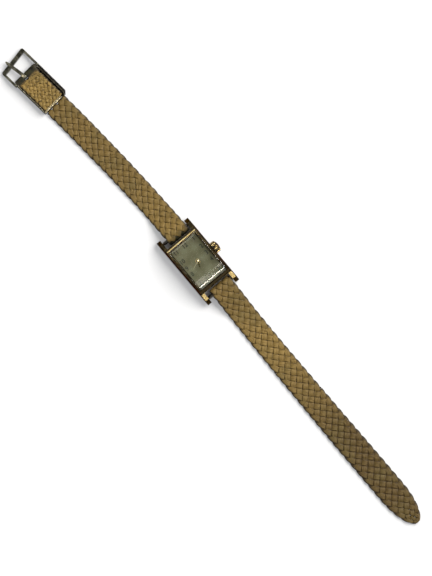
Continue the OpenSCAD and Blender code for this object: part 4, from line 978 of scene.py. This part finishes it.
def fold():
    """The fold's mesh: from the sleeve's mouth over the top, round the bar and back below"""
    top = np.arange(top_start, 0, route_step)
    turn = np.radians(np.arange(90, -90, -fold_wrap_step))
    low = np.arange(0, low_end, -route_step)
    top_z = fold_top + (hinge_z + fold_r - fold_top) * smooth(top, fold_dip_y, 0)
    low_z = fold_low + (hinge_z - fold_r - fold_low) * smooth(low, fold_dip_y, 0)
    profile = np.stack([np.concatenate([top, fold_r * np.cos(turn), low]),
                        np.concatenate([top_z, hinge_z + fold_r * np.sin(turn), low_z])], 1)
    height = np.concatenate([fold_t - fold_thinning * smooth(top, fold_dip_y, fold_thin_y),
                             np.full(len(turn), fold_bar_t),
                             fold_t - fold_thinning * smooth(low, fold_dip_y, fold_thin_y)])
    reach = np.linspace(*fold_line, 60)
    middle_line = at_hinge(np.stack([reach * 0, reach, reach * 0], 1))
    plan = np.stack([reach, middle_line[:, 0], middle_line[:, 1], reach * 0 + fold_w], 1)
    path = route(profile, plan, height)
    # Painted shade and dirt: the fold goes near black round the hinge bar
    path["darkness"] = fold_darkness + bar_shade * smooth(path["reach"], *fold_bar_shade_reach)
    length = path["along"][-1]
    still, parting, apart = (
        np.interp(y, path["reach"][:len(top)], path["along"][:len(top)])
        for y in (still_y, part_y, apart_y))
    back = length - (crossing_y - mouth_y)

    def steps(t):
        """Running plait, which stands still round the bar"""
        rate = 2 * fold_strands / pitch
        return (fold_phase + rate * (np.minimum(t, still) - still)
                + rate * np.maximum(t - back, 0))

    def part(t, x, z, half):
        """Moves the strands to both sides of the slot, and lays them flatter"""
        opened = smooth(t, parting, apart) * (1 - smooth(t, back - closing_l, back))
        edge = fold_w / 2
        left = x < slot_mid
        factor = np.where(left, (slot_from - bound_from) / (slot_mid + edge),
                          (bound_to - slot_to) / (edge - slot_mid))
        moved = np.where(left, bound_from + (x + edge) * factor, bound_to - (edge - x) * factor)
        return (x + (moved - x) * opened, z * (1 - parted_flattening * opened),
                half * (1 + (factor - 1) * opened))

    return plait(path, 0.0, length, steps, fold_strands, part, fold_gap)


def fold_cloth(wire, place):
    """The same cloth, with dark specks where the fine plait has gathered dirt"""
    sockets = cord_cloth(wire, place)
    specks = wire.noise(place, 1100.0, 2.0).rise(0.52, 0.64)
    lighter = wire.node("HueSaturation", None, {"Color": sockets["Base Color"], "Value": 1.3})
    sockets["Base Color"] = (specks * 0.7).mix(lighter, tan_deep_shade_and_dirt)
    return sockets


new_piece("buckle_fold_plait", fold(), finish("fold_cord", fold_cloth), "buckle_end",
          ("buckle_strap_5",))

# The sleeve is folded from thin steel, gone dark, with a narrow side band and a wide one, and a
# double lip across its mouth that is rubbed bright.
sleeve_dark = ((0.008, 0.007, 0.005), (0.030, 0.026, 0.018))
sleeve_bright = (0.80, 0.70, 0.46)
sleeve_inside = 4.88
mouth_wide = 0.22
mouth_narrow = 0.35
wide_taper = (mouth_y - 0.4, -14.1)
narrow_taper = (mouth_y - 0.2, -14.9)
sleeve_ys = [mouth_y, -15.2, -15.0, -14.7, -14.4, -14.1, *np.linspace(-13, -1.6, 10),
             -1.3, -1.05, -0.95]
# Corners of the section across the sleeve, from the hinge: x, z and how bright it is rubbed
sleeve_section = [
    (-5.2, 0.02, 0), (6.05, 0.02, 0), (6.33, 0.22, 0), (6.38, 0.6, 0), (6.37, 1.7, 0),
    (6.2, 2.2, 0), (5.8, 2.62, 0), (5.35, 2.88, 0), (5.1, 2.94, 0.1), (4.96, 2.90, 0.1),
    (4.91, 2.75, 0), (4.91, 0.25, 0), (-4.88, 0.25, 0), (-4.88, 2.72, 0.4), (-4.93, 2.90, 0.5),
    (-5.05, 2.95, 0.2), (-5.22, 2.92, 0), (-5.35, 2.78, 0), (-5.39, 2.5, 0), (-5.39, 0.2, 0)]
# Corners of the section along the lip, from the hinge: y, z and how bright it is rubbed
lip_section = [
    (-15.42, 1.6, 0), (-15.42, 2.70, 0.6), (-15.38, 2.84, 1), (-15.30, 2.88, 1),
    (-15.22, 2.82, 0.6), (-15.18, 2.60, 0), (-15.12, 2.56, 0), (-15.08, 2.64, 0),
    (-15.06, 2.84, 0.6), (-15.0, 2.95, 1), (-14.92, 2.95, 1), (-14.86, 2.86, 0.6),
    (-14.85, 1.6, 0)]
lip_from = -4.86
lip_to = 5.0
lip_xs = np.linspace(lip_from, lip_to, 24)
lip_y = -15.12
lip_sag = 0.12
lip_widening = 0.35
lip_dull_from = (2.6, 4.4)


def rubbed_steel(wire, place):
    """Dark steel that is bright where the mesh says that it is rubbed"""
    worn = wire.noise(place, 500.0, 4.0)
    grain = wire.grain(place, (3000.0, 500.0, 3000.0))
    bright_share = wire.stored("bright_share").axis("X")
    dark = (worn * 0.7 + grain * 0.3).rise(0.35, 0.7).mix(*sleeve_dark)
    return {
        "Base Color": (bright_share + worn * 0.5).rise(0.50, 1.0).mix(dark, sleeve_bright),
        "Metallic": 1.0,
        "Roughness": bright_share * 0.18 + grain * 0.12 + 0.20,
        "Normal": wire.bump(grain + worn, 0.001 * MM, 0.3),
    }


def sleeve_rings():
    """The section along the sleeve, whose bands taper to its mouth"""
    inner = sleeve_inside
    for y in sleeve_ys:
        wide = mouth_wide + (1 - mouth_wide) * float(smooth(y, *wide_taper))
        narrow = mouth_narrow + (1 - mouth_narrow) * float(smooth(y, *narrow_taper))
        yield [(inner + (x - inner) * wide if x > inner
                else -inner + (x + inner) * narrow if x < -inner else x, y, z)
               for x, z, worn in sleeve_section]


def lip_rings():
    """The lip across the mouth, a little bowed and wider at its far end"""
    for x in lip_xs:
        sag = lip_sag * (1 - (x / lip_to) ** 2)
        spread = 1.0 + lip_widening * (x - lip_from) / (lip_to - lip_from)
        yield [(x, lip_y + (y - lip_y) * spread + sag, z) for y, z, worn in lip_section]


rubbed = finish("rubbed_steel", rubbed_steel)
new_piece("sleeve_band", loft(at_hinge(list(sleeve_rings())), [row[2] for row in sleeve_section]),
          rubbed, "buckle_end", ("sleeve",))
lip_rub = [[row[2] * (1 - dull) for row in lip_section] for dull in smooth(lip_xs, *lip_dull_from)]
new_piece("sleeve_lip", loft(at_hinge(list(lip_rings())), lip_rub),
          rubbed, "buckle_end", ("sleeve",))

# The buckle is a bent steel frame on a hinge bar, gone dark. Its gilt tongue turns on the bar and
# is dark, with a painted highlight of bright gilt at the root.
buckle_tones = ((0.045, 0.043, 0.030), (0.175, 0.167, 0.125))
# Painted highlight: its colour, its place at the tongue's root and where it fades out
tongue_highlight = (0.86, 0.74, 0.48)
tongue_highlight_at = (-1.1, 0.35, 2.7)
tongue_highlight_fade = (0.55 * MM, 0.95 * MM)
frame_edge = 0.16 * MM
hinge_edge = 0.05 * MM
tongue_edge = 0.12 * MM


def dark_steel(wire, place):
    """Steel with a dull brown-black skin"""
    worn = wire.noise(place, 500.0, 4.0)
    grain = wire.grain(place, (3000.0, 500.0, 3000.0))
    return {
        "Base Color": (worn * 0.7 + grain * 0.3).rise(0.35, 0.7).mix(*buckle_tones),
        "Metallic": 1.0,
        "Roughness": worn * 0.2 + grain * 0.15 + 0.20,
        "Normal": wire.bump(grain + worn, 0.003 * MM, 0.4),
    }


def tongue_gilt(wire, place):
    """The same, with a painted highlight: a spot of bright gilt at the root"""
    sockets = dark_steel(wire, place)
    # Painted highlight: bright gilt within about a millimetre of the spot at the root
    root = wire.node("VectorMath", {"operation": "DISTANCE"},
                     {0: place, 1: Vector(at_hinge(tongue_highlight_at)) * MM}, "Value")
    dull = (root + wire.noise(place, 900.0) * (0.5 * MM)).rise(*tongue_highlight_fade)
    sockets["Base Color"] = dull.mix(tongue_highlight, sockets["Base Color"])
    return sockets


tarnished = finish("tarnished_steel", dark_steel)
dress("buckle_frame", tarnished, frame_edge)
dress("buckle_bar", tarnished, hinge_edge)
dress("buckle_tongue", finish("tongue_gilt", tongue_gilt), tongue_edge)

# The watch lies on white paper under a broad softbox on the right. Small softboxes draw the lines
# on the crystal and light the lugs and the bezel, and the room is dark overhead.
# The paper glows a little, as painted light that fills the shadows, except under the case
paper_tones = ((0.54, 0.54, 0.54), (0.42, 0.42, 0.42))
paper_fleck = (0.60, 0.60, 0.60)
# Painted light: the paper's glow, and under the case a glow nearly off as a painted shadow
paper_glow = (0.26, 0.26, 0.265)
paper_shadow_glow = (0.02, 0.02, 0.02)
paper_bright_side = (-0.12, 0.02)
# The painted shadow under the case: where it ends across and along
shadow_half_w = (6.8 * MM, 8.2 * MM)
shadow_half_l = (12.5 * MM, 14.0 * MM)
paper_half = 1.5
room_side = (0.58, 0.61, 0.66)
room_above = (0.026, 0.024, 0.020)
middle = Vector((-1.15, -11.8, 1)) * MM


def paper(wire, place):
    """Paper of an even white from side to side. It glows as painted light that fills the
    shadows, and not under the case, where its dark is a painted shadow"""
    fleck = wire.noise(place, 900.0)
    bright_side = place.axis("X").rise(*paper_bright_side)
    # Painted shadow: the glow is nearly off under the case
    outside_painted_shadow = (abs(place.axis("X")).rise(*shadow_half_w)
            + abs(place.axis("Y")).rise(*shadow_half_l)).rise(0.0, 1.0)
    return {
        "Base Color": (fleck * 0.1).mix(bright_side.mix(*paper_tones), paper_fleck),
        "Emission Color": outside_painted_shadow.mix(paper_shadow_glow, paper_glow),
        "Emission Strength": 1.0,
        "Roughness": 0.9,
        "Specular IOR Level": 0.1,
    }


def lamp(name, at, power, wide, tall, shade):
    """A softbox that faces the watch"""
    light = bpy.data.lights.new(name, "AREA")
    light.energy = power
    light.color = shade
    light.shape = "RECTANGLE"
    light.size = wide
    light.size_y = tall
    holder = bpy.data.objects.new(name, light)
    holder.location = middle + at
    holder.rotation_euler = (-at).to_track_quat("-Z", "Y").to_euler()
    bpy.context.scene.collection.objects.link(holder)


paper_corners = [(x * paper_half, y * paper_half, float(cad_box[0][2]))
                 for x, y in ((-1, -1), (1, -1), (1, 1), (-1, 1))]
floor_mesh = bpy.data.meshes.new("floor")
floor_mesh.from_pydata(paper_corners, [], [(0, 1, 2, 3)])
floor_mesh.materials.append(finish("white_paper", paper))
floor = bpy.data.objects.new("floor", floor_mesh)
bpy.context.scene.collection.objects.link(floor)
# Each lamp: its place from the watch's middle in metres, its watts, width, height and colour
lamp("key", Vector((0.38, -0.02, 0.43)), 7.4, 0.46, 0.46, (1, 0.98, 0.95))
lamp("low_glow", Vector((0.011, -0.21, 0.635)), 0.0095, 0.014, 0.11, (1, 0.97, 0.88))
lamp("right_glow", Vector((0.072, -0.21, 0.635)), 0.09, 0.07, 0.11, (1, 0.97, 0.88))
lamp("left_glow", Vector((-0.055, -0.21, 0.635)), 0.09, 0.07, 0.11, (1, 0.97, 0.88))
lamp("near_glow", Vector((0.0, -0.355, 0.545)), 0.42, 0.07, 0.08, (1, 0.97, 0.92))
lamp("far_glow", Vector((0.0, 0.46, 0.40)), 0.26, 0.16, 0.24, (1, 0.95, 0.86))
world = bpy.data.worlds.new("studio")
world.use_nodes = True
room = Wire(world.node_tree)
upwards = room.node("TexCoord", out="Generated").axis("Z").rise(0.62, 0.93)
world.node_tree.links.new(upwards.mix(room_side, room_above).socket,
                          world.node_tree.nodes["Background"].inputs["Color"])
bpy.context.scene.world = world
bpy.context.scene.view_settings.view_transform = "Standard"

# The camera looks down through a long lens from almost overhead. The watch lies from corner to
# corner of its picture.
photo_down = Vector((-0.643, -0.766, 0))
camera_tilt = math.radians(88)
camera_distance = 0.712
camera = bpy.data.objects.new("camera", bpy.data.cameras.new("camera"))
camera.data.lens = 120
camera.data.sensor_width = 36
camera.data.clip_start = 0.01
away = photo_down * math.cos(camera_tilt) + Vector((0, 0, math.sin(camera_tilt)))
across = (-photo_down).cross(away).normalized()
camera.matrix_world = (Matrix.Translation(middle + away * camera_distance)
                       @ Matrix((across, away.cross(across), away)).transposed().to_4x4())
bpy.context.scene.collection.objects.link(camera)
bpy.context.scene.camera = camera
